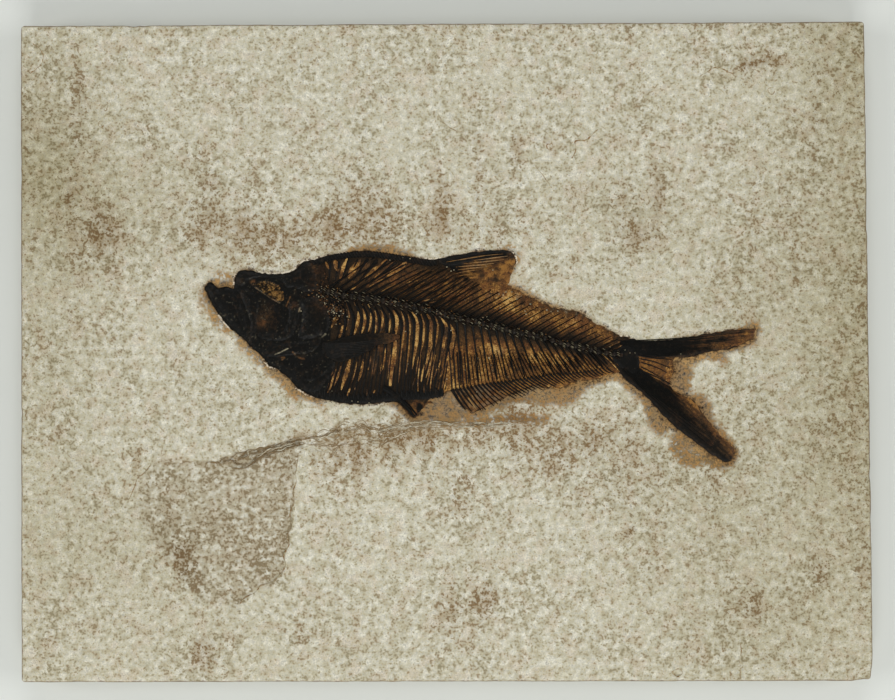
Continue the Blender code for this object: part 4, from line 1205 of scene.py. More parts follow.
def makeBackbone(shape):
    count, per = shape["count"], shape["stationsPer"]
    line = smoothLine(spineLine, count * per + 1)
    share = np.linspace(0, 1, len(line))
    phase = (share * count) % 1
    flare = shape["waist"] + (1 - shape["waist"]) * np.abs(2 * phase - 1) ** 1.6
    width = shape["radius"] * (1 - shape["taper"] * share) * flare
    # painted glints in arcs over each vertebra of the column
    arcs = np.maximum(0, np.cos(phase * 2 * math.pi * 3)) ** 4
    random = np.random.default_rng(5).random((len(line), 9))
    glint = arcs[:, None] * np.array([0, 0.5, 0.9, 0.6, 0.3, 0.7, 0.9, 0.5, 0]) * (random * 1.3 - 0.35)
    pale = np.clip(glint * 0.1, 0, 0.15)
    column = laidBones(line, width, shape["height"] * flare, {"amber": 0.08}, sides=9, sink=0.4)
    column[2]["pale"] = np.concatenate([pale.ravel(), [0, 0]])
    middle = line[per // 2 :: per][:count]
    shares = (np.arange(count) + 0.5) / count
    up = np.linspace(0, 1, 6)[None, :, None]
    # neural spines lean back towards the tail and stop short of the back; haemal spines hang down to the fin
    slope = np.radians(np.interp(middle[:, 0], *shape["neuralSlopes"]))
    toward = np.stack([np.cos(slope), np.sin(slope)], axis=1)
    roofLine = [*back, (4, 40), (25.7, 32), *rearBack, *tailTop[:3]]
    tries = np.linspace(2, 48, 120)
    tryX = middle[:, :1] + toward[:, :1] * tries
    tryY = middle[:, 1:] + toward[:, 1:] * tries
    reach = tries[(tryY > heightOf(roofLine, tryX) - shape["clearance"]).argmax(1)]
    rng = np.random.default_rng(31)
    tip = middle + toward * (reach * rng.uniform(0.82, 1, count))[:, None]
    bow = np.sin(up * math.pi) * np.array([0, 0.3])
    neural = middle[:, None] * (1 - up) + tip[:, None] * up + bow
    slope = np.radians(np.interp(middle[:, 0], *shape["haemalSlopes"]))
    drop = middle[:, 1] - heightOf(analBase, middle[:, 0] + 3) - 1
    foot = middle + np.stack([drop / np.tan(slope), -drop], axis=1)
    haemal = middle[:, None] * (1 - up) + foot[:, None] * up + np.sin(up * math.pi) * np.array([0.25, 0])
    haemal = haemal[shape["firstHaemal"] : count - 2]
    # fine bones between the neural spines, which fade out before the back
    between = (neural[:-1] + neural[1:]) / 2
    between = between[:, :1] + (between - between[:, :1]) * rng.uniform(0.5, 0.8, count - 1)[:, None, None]
    parts = [column]
    slimmer = np.interp(middle[:, :1], [-10, 25], [0.56, 0.42])
    for paths, wide, amber in ((neural, slimmer, 0), (haemal, 0.58, 0), (between[6:], 0.28, 0.3)):
        wide = wide * np.interp(np.linspace(0, 1, 6), [0, 0.3, 1], [1.45, 0.95, 0.6])
        values = {"amber": amber * np.linspace(0.3, 1, 6), "pale": 0}
        parts.append(laidBones(paths, wide, np.minimum(wide, 0.6), values, 5))
    # each vertebra shows a short ladder of small raised arcs across it, with painted glints on them
    tangent = np.gradient(middle, axis=0)
    tangent /= np.linalg.norm(tangent, axis=1, keepdims=True)
    normal = np.stack([-tangent[:, 1], tangent[:, 0]], axis=1)
    rungs = np.linspace(-1, 1, shape["rungs"])
    spread = shape["ladder"] * np.interp(np.arange(count), [0, count - 1], [1, 0.65])
    t = np.linspace(-1, 1, 5)
    jitter = rng.uniform(-0.4, 0.4, (2, count, shape["rungs"], 1))
    alongIt = t * 0.85 + jitter[0]
    acrossIt = (rungs[:, None] * spread[:, None, None]) - t * 0.3 - t**2 * 0.12 + jitter[1]
    arcs = middle[:, None, None] + tangent[:, None, None] * alongIt[..., None]
    arcs = (arcs + normal[:, None, None] * acrossIt[..., None]).reshape(-1, 5, 2)
    shine = (rng.uniform(-0.35, 0.95, len(arcs)).clip(0) * rng.uniform(0.6, 1, len(arcs)))[:, None]
    values = {"amber": 0.12 * np.ones((len(arcs), 5)), "pale": shine * np.array([0.1, 0.7, 0.9, 0.7, 0.1])}
    parts.append(laidBones(arcs, 0.14 * np.array([0.5, 1, 1, 1, 0.5]), 0.3, values, 5, 0.4, 1))
    bonePiece("backbone_bones", parts, "backbone")


makeBackbone(backbone)


ribs = {
    "heads": (-49.7, 0.7),
    "level": 15.1,  # the y at which the places below, each rib's x, are measured
    "places": [
        -48.7, -44.9, -40.9, -37.9, -35.1, -32.3, -29, -25.7,
        -22.2, -19, -16.1, -12.7, -9.4, -5.9, -2.5, 1.2,
    ],
    "halfWidth": 0.7,
    "height": 0.5,
    "farHalfWidth": 0.4,
    "farHeight": 0.26,
}
plain = {"amber": 0, "pale": 0}
# Each rib is read between these three shapes, front, middle and rear.
ribShapes = [
    [(0, 0), (3.3, -8.6), (1.4, -19.2), (-1.5, -29.7), (-5.8, -43.2)],
    [(0, 0), (3.4, -5.3), (3.9, -13.9), (2.9, -26.4), (2.2, -38.4)],
    [(0, 0), (0.3, -4), (-0.2, -11.1), (-1.9, -22.1), (-4.3, -34.6)],
]


def ribPath(share, stations=18, drop=2.4):
    # A point on the backbone, then the offsets of the nearest shapes, stretched to reach the belly scutes.
    headX = blend(*ribs["heads"], share)
    headY = heightOf(spineLine, headX) - drop
    shapes = np.array(ribShapes)
    at = share * 2
    first = int(min(max(at, 0), 1) if at < 1 else 1)
    offsets = blend(shapes[first], shapes[first + 1], at - first)
    floor = heightOf(bellyInner, headX + offsets[-1, 0]) + 0.8
    stretch = (floor - headY) / offsets[-1, 1]
    return smoothLine(offsets * [1, stretch] + [headX, headY], stations)


def makeRibs(shape):
    # every rib is the path whose place at the measured level is the one listed
    tries = np.linspace(-0.15, 1.15, 53)
    places = []
    for share in tries:
        path = ribPath(share)[::-1]
        places.append(np.interp(shape["level"], path[:, 1], path[:, 0]))
    shares = np.interp(shape["places"], places, tries)
    along = np.linspace(0, 1, 18)
    width = np.interp(along, [0, 0.08, 0.4, 0.6, 0.8, 1], [0.6, 1, 0.95, 0.75, 0.7, 0.7])
    for k, share in enumerate(shares):
        path = ribPath(share)
        swell = 1 + 0.22 * roughNoise(path[:, 0], path[:, 1], 5, 700 + k, 2)
        wide = shape["halfWidth"] * width * swell
        part = laidBones(path, wide, shape["height"] * width, plain, 7)
        bonePiece(f"rib_{k + 1:02d}_bone", [part], f"rib_{k + 1:02d}")
    # a far rib starts just beside a near one, hides behind it, and shows between two of them lower down
    near = np.stack([ribPath(share, drop=3.2) for share in [shares[0] - 0.06, *shares, shares[-1] + 0.07]])
    share = np.interp(along, [0, 0.25, 0.45, 0.7, 1], [0.42, 0.2, 0.22, 0.48, 0.55])[None, :, None]
    far = np.concatenate([near[:-1] * (1 - share) + near[1:] * share, near[-1:]])
    wide = np.interp(along, [0, 0.1, 0.5, 0.75, 1], [0.5, 0.8, 0.8, 1, 0.8])
    part = laidBones(far, shape["farHalfWidth"] * wide, shape["farHeight"] * wide, plain, 5)
    bonePiece("far_ribs", [part])


makeRibs(ribs)
print("stage: backbone and ribs")


predorsals = {"count": 9, "feet": ((-56.4, 33.9), (-33.4, 33.9)), "topsX": (-56, -19.5), "width": 0.95}


def makePredorsals(shape):
    # Leaf-shaped: wide at the back scutes, narrow at the foot.
    share = np.linspace(0, 1, shape["count"])
    feet = blend(np.array(shape["feet"][0])[None], np.array(shape["feet"][1])[None], share[:, None])
    topX = blend(*shape["topsX"], share)
    tops = np.stack([topX, heightOf(back, topX) - 3.6], axis=1)
    up = np.linspace(0, 1, 9)
    paths = feet[:, None] * (1 - up[:, None]) + tops[:, None] * up[:, None]
    width = shape["width"] * np.interp(up, [0, 0.5, 0.85, 1], [0.35, 0.7, 1, 0.8])
    for k in range(shape["count"]):
        part = laidBones(paths[k], width, 0.4 * width / shape["width"], plain, 7)
        name = f"predorsal_bone_{k + 1:02d}"
        bonePiece(f"{name}_leaf", [part], name)


makePredorsals(predorsals)


def boneTones(x, amber=0.0, pale=0.0):
    # The two named values of a bone, with one number for each point of x.
    return {"amber": np.zeros(len(x)) + amber, "pale": np.zeros(len(x)) + pale}


def under(depth):
    # The underside of a plate: the body's height less this depth.
    return lambda x, y, d: bodyHeight(x, y) - depth


def makeScutes():
    # A row of small roofs along the back, and keeled scutes with a spike each along the belly.
    topLine = smoothLine([(-66, 43.4), *back, (-4.6, 44.4)], 41)
    inner = topLine - np.array([0, 2.8])
    share = np.linspace(0, 1, 6)[None, :, None]
    rows = topLine[:-1, None] * (1 - share) + inner[1:, None] * share
    width = 0.95 * np.interp(share[0, :, 0], [0, 0.2, 0.7, 1], [0.7, 1, 0.9, 0.5])
    roofs = laidBones(rows, width, 0.6, {"amber": 0.05, "pale": 0}, 6)
    band = plate(
        np.vstack([topLine - [0, 0.25], inner[::-1]]), 0.6,
        lambda x, y, d: bodyHeight(x, y) + 0.25 + 0.2 * ease(d, 0, 1), under(0.4),
        lambda x, y, d: boneTones(x),
    )
    bonePiece("back_scutes_row", [band, roofs], "back_scutes")
    keel = smoothLine(
        [(-62, -22.4), (-56, -23.6), (-46.3, -25), (-36.7, -25), (-27, -24), (-8, -23), (-2, -21.8)], 27
    )
    lean = np.array([-1, 5])
    rows = keel[:, None] + lean * share
    width = 1.3 * np.interp(share[0, :, 0], [0, 0.15, 0.6, 1], [0.25, 0.9, 1, 0.3])
    height = 0.9 * np.interp(share[0, :, 0], [0, 0.3, 1], [0.4, 1, 0.4])
    spikes = laidBones(rows, width, height, plain, 6)
    band = plate(
        ragged(np.vstack([keel + [0, 0.3], smoothLine(bellyInner, 30)[::-1]]), 0.45, 1.4, 331), 0.5,
        lambda x, y, d: bodyHeight(x, y) + 0.25 + 0.25 * ease(d, 0, 1.2), under(0.4),
        lambda x, y, d: boneTones(x),
    )
    bonePiece("belly_scutes_keel", [band, spikes], "belly_scutes")


makeScutes()
print("stage: back and belly")


skullRoof = [
    (-101.6, 32.2), (-101.3, 36.2), (-99.6, 38.4), (-95.8, 38.9), (-89.5, 37.5), (-78.5, 37),
    (-74.6, 38.1), (-71.8, 40.5), (-69, 42.8), (-66, 43.2), (-64.1, 41.5), (-62.6, 36.7), (-62, 31.5),
    (-64.6, 28.6), (-70.3, 29.5), (-74.2, 31), (-77, 30.6), (-79.6, 33.6), (-83.8, 35.4), (-88.6, 35.6),
    (-93.2, 35), (-96, 32.8), (-99, 31.4),
]
eyeSocket = [
    (-93.8, 32.6), (-91.9, 33.8), (-88, 34.2), (-84, 33.6), (-80.6, 31.8), (-78.4, 29), (-77.9, 25.7),
    (-79.4, 24), (-82.8, 24.7), (-87.6, 27.6), (-91.6, 30.4),
]
upperJaw = [
    (-101, 29.2), (-97.7, 30.2), (-94.6, 29.6), (-91.4, 26.2), (-90, 22.3), (-91, 16.1), (-91.4, 10.3),
    (-93.4, 3.6), (-95, 5), (-94.4, 12.7), (-96.4, 19.9), (-98.8, 26.4),
]
lowerJaw = [
    (-116, 30.4), (-114, 33), (-112, 32), (-109.7, 30.2), (-106.3, 31), (-103, 30), (-100.3, 26.6),
    (-97.9, 19.9), (-96, 12.7), (-96.4, 6.9), (-98.2, 6.9), (-103, 10.7), (-107, 15.4), (-111.8, 21.6),
    (-114.7, 27.1),
]
cheekPlate = [
    (-75.6, 23.3), (-72.2, 23.8), (-70.9, 19), (-71.8, 12.7), (-74.2, 7.4), (-79.9, 5), (-88.6, 5.8),
    (-90.4, 7.4), (-89.6, 9.4), (-84.7, 8.9), (-79, 9.8), (-76.6, 14.2), (-76, 19),
]
gillCover = [
    (-70.8, 23.8), (-66.5, 26.2), (-61.7, 25.7), (-57.8, 21.8), (-55.9, 17), (-55.9, 12.2), (-57.8, 8.4),
    (-62.6, 7), (-67.9, 6), (-71.8, 7), (-70.3, 12.2), (-69.4, 18),
]
throatPlate = [
    (-93.4, 1.8), (-90.5, 3.8), (-79.9, 4), (-72.7, 4.8), (-65.5, 4.8), (-59.8, 6), (-64.6, -0.2),
    (-72.7, -1.7), (-79.9, -2.6), (-86.6, -2.6), (-88.2, -1.9), (-91.5, 0.2),
]
shoulderGirdle = [
    (-85.6, -4.3), (-79.9, -3.6), (-71.8, -2.6), (-64, -1.2), (-57.8, 2.2), (-55.4, -0.2), (-53.5, -5),
    (-54.5, -9.8), (-57.8, -14.6), (-61.7, -19), (-65.5, -19.6), (-70, -17.6), (-75, -12.9),
    (-81.4, -7.6), (-84.7, -6.3),
]
# Ridges and creases over the head: height, half width, then the points. A crease has a negative height.
headLines = [
    (0.45, 0.7, [(-94.3, 32.4), (-90.5, 31), (-85.7, 27.6), (-81.8, 23.8), (-78.5, 20.4)]),
    (0.4, 0.7, [(-93.4, 29.5), (-88.6, 26.6), (-83.8, 23.3), (-79.4, 18.5)]),
    (0.35, 0.5, [(-98.6, 34.8), (-91.4, 36.2), (-84.7, 35.3), (-79, 33.4)]),
    (-0.5, 0.5, [(-103.9, 29.5), (-102.5, 24.7), (-101, 19), (-98.6, 13.2), (-96.2, 7.9), (-93.4, 3.6)]),
    (0.5, 0.9, [(-114.5, 28.6), (-110.6, 20.9), (-105.8, 14.2), (-101, 8.4), (-96.2, 3.1)]),
    (-0.6, 0.6, [(-94.8, 9.8), (-90.5, 8.4), (-85.7, 8.4), (-82.8, 9.4)]),
    (0.35, 0.7, [(-77, 23.3), (-78, 18), (-77, 13.2), (-75.1, 9.4)]),
    (-0.4, 0.6, [(-68.9, 26.6), (-70.3, 21.8), (-72.2, 17), (-71.8, 11.3), (-70.3, 7.4)]),
    (-0.7, 0.6, [(-71.8, 4.6), (-67.4, 5.5), (-62.6, 6.5), (-58.8, 8.4)]),
    (0.35, 0.8, [(-59.8, 19.9), (-57.8, 15.1), (-57.8, 10.3), (-59.8, 7)]),
    (0.3, 0.4, [(-88.6, -0.2), (-83.8, 1.7), (-78, 2.6), (-72.2, 1.2), (-67.4, -0.7)]),
    (0.3, 0.4, [(-87.6, -2.2), (-81.8, -0.2), (-76.1, 0.7), (-70.3, -0.7), (-65.5, -2.6)]),
    (0.3, 0.4, [(-85.7, -3.6), (-79.9, -2.2), (-74.2, -1.2), (-68.4, -3.1)]),
    (0.4, 0.9, [(-85.7, -5), (-79, -9.8), (-72.2, -16.1), (-65.5, -20.9), (-59.8, -23.3)]),
    (-0.4, 0.6, [(-68.9, -14.2), (-64.6, -14.2), (-59.8, -12.2), (-56.9, -9.4)]),
    (0.35, 0.7, [(-57.4, -4.1), (-54.5, -7.9), (-55.4, -12.7), (-57.8, -17.5)]),
]
# Small flecks of colour: pale, amber, half width, then the points. Most of the pale in them is painted
# glint.
headFlecks = [
    (0.25, 0.8, 0.16, [(-91.9, 30.9), (-88.6, 28.6), (-84.7, 26), (-79.9, 23.2)]),
    (0, 0.9, 0.26, [(-75.1, 26.2), (-76.1, 23.8), (-77, 21.8)]),
    (0.75, 0, 0.15, [(-82.3, -1.4), (-79.6, -0.4)]),
    (0.85, 0, 0.2, [(-79, 0), (-76.1, 1.4)]),
    (0, 0.8, 0.3, [(-79.4, -2.8), (-77.6, -3), (-79, -4)]),
    (0, 0.55, 0.4, [(-73.7, -0.4), (-71.8, -2.4), (-68.4, -3.6)]),
    (0.5, 0, 0.22, [(-59.8, 7), (-57.8, 8.4)]),
    (0, 0.9, 0.3, [(-54.5, -9.8), (-55.9, -13.7), (-57.4, -17.5)]),
    (0.35, 0.5, 0.25, [(-70.9, 19.2), (-70.4, 21)]),
    (0, 0.7, 0.4, [(-93, 32.6), (-92.4, 33.4)]),
]
# Where the head is amber: centre, half widths and strength.
headTones = [
    (-88, 13.6, 4.6, 3.6, 0.2), (-86.5, 19, 3.4, 4.6, 0.2), (-93.2, 33.2, 1.2, 1.2, 0.5),
    (-99, 33.6, 2.4, 1.6, 0.16), (-64, 41, 3, 2, 0.2), (-73, 22.5, 2, 2, 0.16), (-60, 34, 7, 7, 0.14),
    (-60, 22, 5, 7, 0.12),
]


def headRelief(x, y):
    # Creased noise, and each head line as a ridge or a crease of bell-shaped section, fading at its ends.
    creased = 1 - 2 * np.abs(roughNoise(x, y, 2.4, 171, 3))
    height = 0.15 * creased + 0.09 * roughNoise(x, y, 1, 175, 2) + 0.12 * roughNoise(x, y, 5, 181, 2)
    for rise, width, line in headLines:
        away, share = nearLine(x, y, smoothLine(line, 24))
        ridge = 0.6 * rise * np.exp(-((away / width) ** 2))
        height += ridge * ease(share, 0, 0.1) * ease(1 - share, 0, 0.1)
    return height


def headValues(x, y, d):
    # A little amber noise and a sprinkle of pale painted glints, with each fleck laid over it.
    pale = 0.1 * ease(roughNoise(x, y, 0.9, 191, 2), 0.5, 0.8)
    amber = patches(x, y, headTones)
    amber += 0.12 * ease(roughNoise(x, y, 2.6, 201, 3), 0.35, 0.7)
    for light, gold, width, line in headFlecks:
        away, _ = nearLine(x, y, smoothLine(line, 12))
        mark = ease(-away, -width * 1.9, -width * 0.4) * (0.6 + 0.4 * softNoise(x, y, 1.2, 195))
        pale, amber = np.maximum(pale, light * mark), np.maximum(amber, gold * mark)
    return {"amber": amber, "pale": pale}


def eyeValues(x, y, d):
    # The gold gathers at the rear and along the lower side of the eye.
    gold = ease(x - (y - 29) * 0.25, -90.5, -82) - 0.5 * ease(-d, -0.7, 0)
    return boneTones(x, gold)


def makeHeadPlate(name, node, outline, rise, rounding, finish=None, valuesOf=headValues):
    # The plate's rim stands a little over the film and its middle domes up, with the head's ridges on top.
    line = ragged(smoothLine(outline, len(outline) * 6, closed=True), 0.7, 1.2, 353)

    def topOf(x, y, d):
        dome = rise * (1 - np.exp(-d / rounding))
        return bodyHeight(x, y) + dome + headRelief(x, y) * ease(d, 0, 0.9) + 0.2

    part = plate(line, 0.36, topOf, under(0.35), valuesOf)
    newPiece(name, [part], finish or blackBone, [node])


makeHeadPlate("skull_roof_plate", "skull_roof", skullRoof, 1, 1.2)
makeHeadPlate("upper_jaw_blade", "upper_jaw", upperJaw, 0.8, 1.2)
makeHeadPlate("lower_jaw_plate", "lower_jaw", lowerJaw, 1.1, 1.6)
makeHeadPlate("cheek_plate_bone", "cheek_plate", cheekPlate, 0.9, 1.2)
makeHeadPlate("gill_cover_plate", "gill_cover", gillCover, 1.3, 2.2)
makeHeadPlate("throat_plate_rays", "throat_plate", throatPlate, 0.7, 1.4)
makeHeadPlate("shoulder_girdle_plate", "shoulder_girdle", shoulderGirdle, 0.9, 2)
makeHeadPlate("eye_filling", "eye", eyeSocket, 0.6, 2, amberEye, eyeValues)
# a dark bed of crushed bone lies over the film, under the plates and between them
headBed = smoothLine(
    [
        (-115.5, 30.6), (-113.8, 32.9), (-109.7, 30), (-106.3, 30.8), (-102.3, 29.6), (-101.3, 36.2),
        (-99.6, 38.2), (-95.8, 38.6), (-84.5, 36.8), (-75, 37.8), (-69, 42.6), (-62, 43.8), (-58, 38),
        (-54, 30), (-50, 26), (-53, 20), (-55, 12), (-56, 4), (-53.5, -4), (-56, -14), (-60, -21.4),
        (-70, -17.8), (-81.4, -7.9), (-88.2, -2.4), (-98, 6.9), (-107, 15.5), (-114.7, 27.1),
    ],
    220,
    closed=True,
)


def bedTop(x, y, d):
    return bodyHeight(x, y) + 0.12 + 0.5 * headRelief(x, y) * ease(d, 0, 1.5) + 0.15 * ease(d, 0, 1)


bed = plate(ragged(headBed, 0.8, 1.2, 359), 0.42, bedTop, under(0.4), headValues)
bonePiece("head_bone_bed", [bed])
print("stage: head")


def fanRays(bases, tips, count, stations=8, bow=0.0):
    # Rays from evenly spaced points of one line to evenly spaced points of another, bowed sideways.
    start, end = smoothLine(bases, count), smoothLine(tips, count)
    t = np.linspace(0, 1, stations)[None, :, None]
    rays = start[:, None] * (1 - t) + end[:, None] * t
    across = (end - start) @ np.array([[0, 1], [-1, 0]])
    return rays + across[:, None] * bow * np.sin(math.pi * t)


def finPlate(outline, valuesOf, lift=0.05, spacing=0.5, tear=0.35):
    # A thin membrane with a torn outline, a little over the body's height and thinner at its rim.
    line = ragged(smoothLine(outline, len(outline) * 6, closed=True), tear, 1.8, 337)
    return plate(
        line, spacing,
        lambda x, y, d: bodyHeight(x, y) + lift + 0.25 * ease(d, 0, 1.2),
        under(0.35), valuesOf,
    )


def rayBones(paths, halfWidth, height, amber, lift=0.15):
    # Fin rays that thin towards their tips.
    along = np.linspace(0, 1, np.shape(paths)[1])
    taper = np.interp(along, [0, 0.6, 1], [1, 0.85, 0.5])
    return laidBones(paths, halfWidth * taper, height * taper, {"amber": amber, "pale": 0}, 5, 0.3, lift)


# Golden slits between the first rays of the dorsal fin: half width, how pale, then the points.
dorsalSlits = [
    (0.3, 0.5, [(29.5, 45.9), (21.8, 44.9), (13.1, 43.7)]),
    (0.28, 0.4, [(27.7, 44.2), (18.5, 43.2), (8.3, 42.2)]),
    (0.3, 0.5, [(22.9, 42.4), (15.1, 41.5), (4.5, 40.6)]),
    (0.26, 0.4, [(20, 40.8), (12.7, 40.1), (5.4, 39.2)]),
    (0.24, 0.2, [(15.2, 39.3), (7.9, 38.2), (3.6, 37.2)]),
    (0.24, 0.3, [(19.3, 46.1), (9.5, 44.6), (-0.2, 43)]),
    (0.2, 0.2, [(27.3, 46.9), (18.5, 46.1), (10.2, 45)]),
    (0.2, 0.1, [(14, 37.4), (9, 36.9), (5, 36)]),
]


def makeDorsalFin():
    bases = [(-3.6, 43.4), (-0.5, 41.8), (2.5, 39.8), (5.5, 37.6), (9, 35.2)]
    tips = [(31.2, 47.9), (32.4, 46.2), (31.6, 43.9), (28.5, 41.6), (23, 39.2), (16, 37)]
    count = 16
    rays = fanRays(bases, tips, count, bow=0.02)
    share = np.linspace(0, 1, count)[:, None]
    along = np.linspace(0, 1, 8)[None]
    amber = np.clip(share * 0.5 * along + along**2 * 0.3 - 0.2, 0, 1)
    wide = np.interp(share, [0, 0.25, 0.4, 1], [0.7, 0.5, 0.3, 0.26])

    def dorsalTone(x, y, d):
        depth = heightOf(dorsalEdge[:5], x) - y
        amber = ease(depth, 2.4, 6) * ease(x, 2, 15) * 0.86 + 0.3 * ease(x, 27.5, 32)
        return boneTones(x, amber * (0.9 + 0.9 * roughNoise(x, y * 1.5, 3.4, 401, 2)))

    slits = []
    for halfWidth, pale, line in dorsalSlits:
        width = halfWidth * np.sin(math.pi * np.linspace(0.06, 0.94, 10)) ** 0.6
        shine = 0.4 * pale * np.interp(np.linspace(0, 1, 10), [0, 0.4, 1], [0.7, 1, 0.2])
        values = {"amber": 1, "pale": shine}
        slits.append(laidBones(smoothLine(line, 10), width, 0.16, values, 5, 0.3, 0.42))
    membrane = finPlate([*dorsalEdge, (16, 34.8), (8, 36.3), (-3.8, 43.2)], dorsalTone, tear=0.8)
    parts = [membrane, rayBones(rays, wide, 0.3, amber), *slits]
    bonePiece("dorsal_fin_rays", parts, "dorsal_fin")


def makeAnalFin():
    count = 42
    bases = [(2.7, -18.2), (8, -17.2), (16, -15.8), (30.5, -13.9), (49.7, -10.9), (69, -9), (77, -7.6)]
    start = smoothLine(bases, count)
    share = np.linspace(0, 1, count)
    rng = np.random.default_rng(9)
    length = np.interp(share, [0, 0.2, 0.35, 0.5, 0.7, 1], [13, 13, 11, 9.5, 7, 4])
    length *= 1 + 0.12 * rng.standard_normal(count).clip(-1.5, 1)
    slope = np.radians(np.interp(share, [0, 0.12, 0.25, 0.5, 0.7, 1], [57, 50, 37, 31, 38, 35]))
    end = start + np.stack([np.cos(slope), -np.sin(slope)], axis=1) * length[:, None]
    t = np.linspace(0, 1, 7)[None, :, None]
    rays = start[:, None] * (1 - t) + end[:, None] * t + np.sin(math.pi * t) * np.array([-0.25, -0.2])

    def analTone(x, y, d):
        front = ease(-x, -34, -22)
        amber = 0.84 - 0.24 * front + 0.4 * roughNoise(x, y, 4, 411)
        return boneTones(x, amber, 0.1 * front * ease(roughNoise(x, y, 2, 413, 2), -0.1, 0.3))

    membrane = finPlate([*analEdge, *analBase[1:]], analTone, -0.1)
    taper = np.interp(np.linspace(0, 1, 7), [0, 0.2, 1], [1.3, 1, 0.8])
    wide = np.interp(share, [0, 0.05, 0.1, 1], [0.85, 0.7, 0.56, 0.5])[:, None] * taper
    bonePiece("anal_fin_rays", [membrane, rayBones(rays, wide, 0.4, 0)], "anal_fin")
    # the fine supports over the fin, lying beside the haemal spines, and those under the dorsal fin
    tall = np.interp(share, [0, 0.1, 0.4, 1], [20, 17, 12.5, 6]) + 1.4 * rng.standard_normal(count)
    lean = np.radians(np.interp(start[:, 0], *backbone["haemalSlopes"]))
    top = start + np.stack([-tall / np.tan(lean), tall], axis=1)
    supports = top[:, None] * (1 - t) + start[:, None] * t
    upper = fanRays(
        [(-6, 41.5), (2, 39.5), (10, 35), (16, 32.5)],
        [(-25, 29.5), (-16, 27.5), (-6, 22.5), (1, 20.5)], 15, 7,
    )
    wide = np.interp(share, [0, 0.08, 0.15, 1], [0.7, 0.6, 0.42, 0.4])[:, None] * np.linspace(0.55, 1.1, 7)
    parts = [rayBones(supports, wide, 0.35, 0), rayBones(upper, 0.3, 0.25, 0.15)]
    bonePiece("fin_supports", parts)


def makePelvicFin():
    rays = [
        smoothLine(line, 8)
        for line in (
            [(-30.2, -17.4), (-25, -20.8), (-19.5, -26.2), (-15.6, -31.4)],
            [(-25, -21.4), (-20, -24.4), (-16.5, -27.8), (-14.2, -30.6)],
        )
    ]

    def smudge(x, y, d):
        return boneTones(x, 0.28 + 0.9 * roughNoise(x, y, 2.6, 441, 2))

    outline = [
        (-3.5, -23.4), (-5, -25.6), (-8.6, -26.2), (-9, -28), (-12.6, -28.8), (-13.4, -31.6), (-15.6, -31.9),
        (-18.5, -29.5), (-22.3, -25.4), (-23, -24), (-17, -23.8),
    ]
    membrane = finPlate(outline, smudge, -0.1, tear=1.2)
    wide = np.array([[1.45], [0.8]])
    parts = [membrane, rayBones(rays, wide, 0.9, 0)]
    bonePiece("pelvic_fin_rays", parts, "pelvic_fin")


def makePectoralFin():
    outline = [
        (-59.8, 4.1), (-56, 4.8), (-51, 6.5), (-46, 7.6), (-41.5, 8.4), (-35, 8.7), (-29.5, 8.9),
        (-22.8, 7.9), (-23.8, 5.6), (-29.5, 3.6), (-33.5, 3.2), (-35.8, 0.8), (-39, -0.6), (-41.5, -2),
        (-46, -3.4), (-50, -4.9), (-55, -4), (-58.3, -0.2),
    ]

    def bladeTone(x, y, d):
        return boneTones(x, 0.24 * ease(x, -38, -25) + 0.04)

    blade = finPlate(outline, bladeTone, 0.75, 0.45)
    tips = [(-24, 7.8), (-30, 4.2), (-42, -1.4), (-53, -3.6)]
    rays = fanRays([(-58.5, 3.8), (-57.8, -2)], tips, 12, bow=-0.04)
    amber = 0.1 * ease(rays[..., 0], -38, -27)
    parts = [blade, rayBones(rays, 0.42, 0.16, amber, lift=0.95)]
    bonePiece("pectoral_fin_rays", parts, "pectoral_fin")


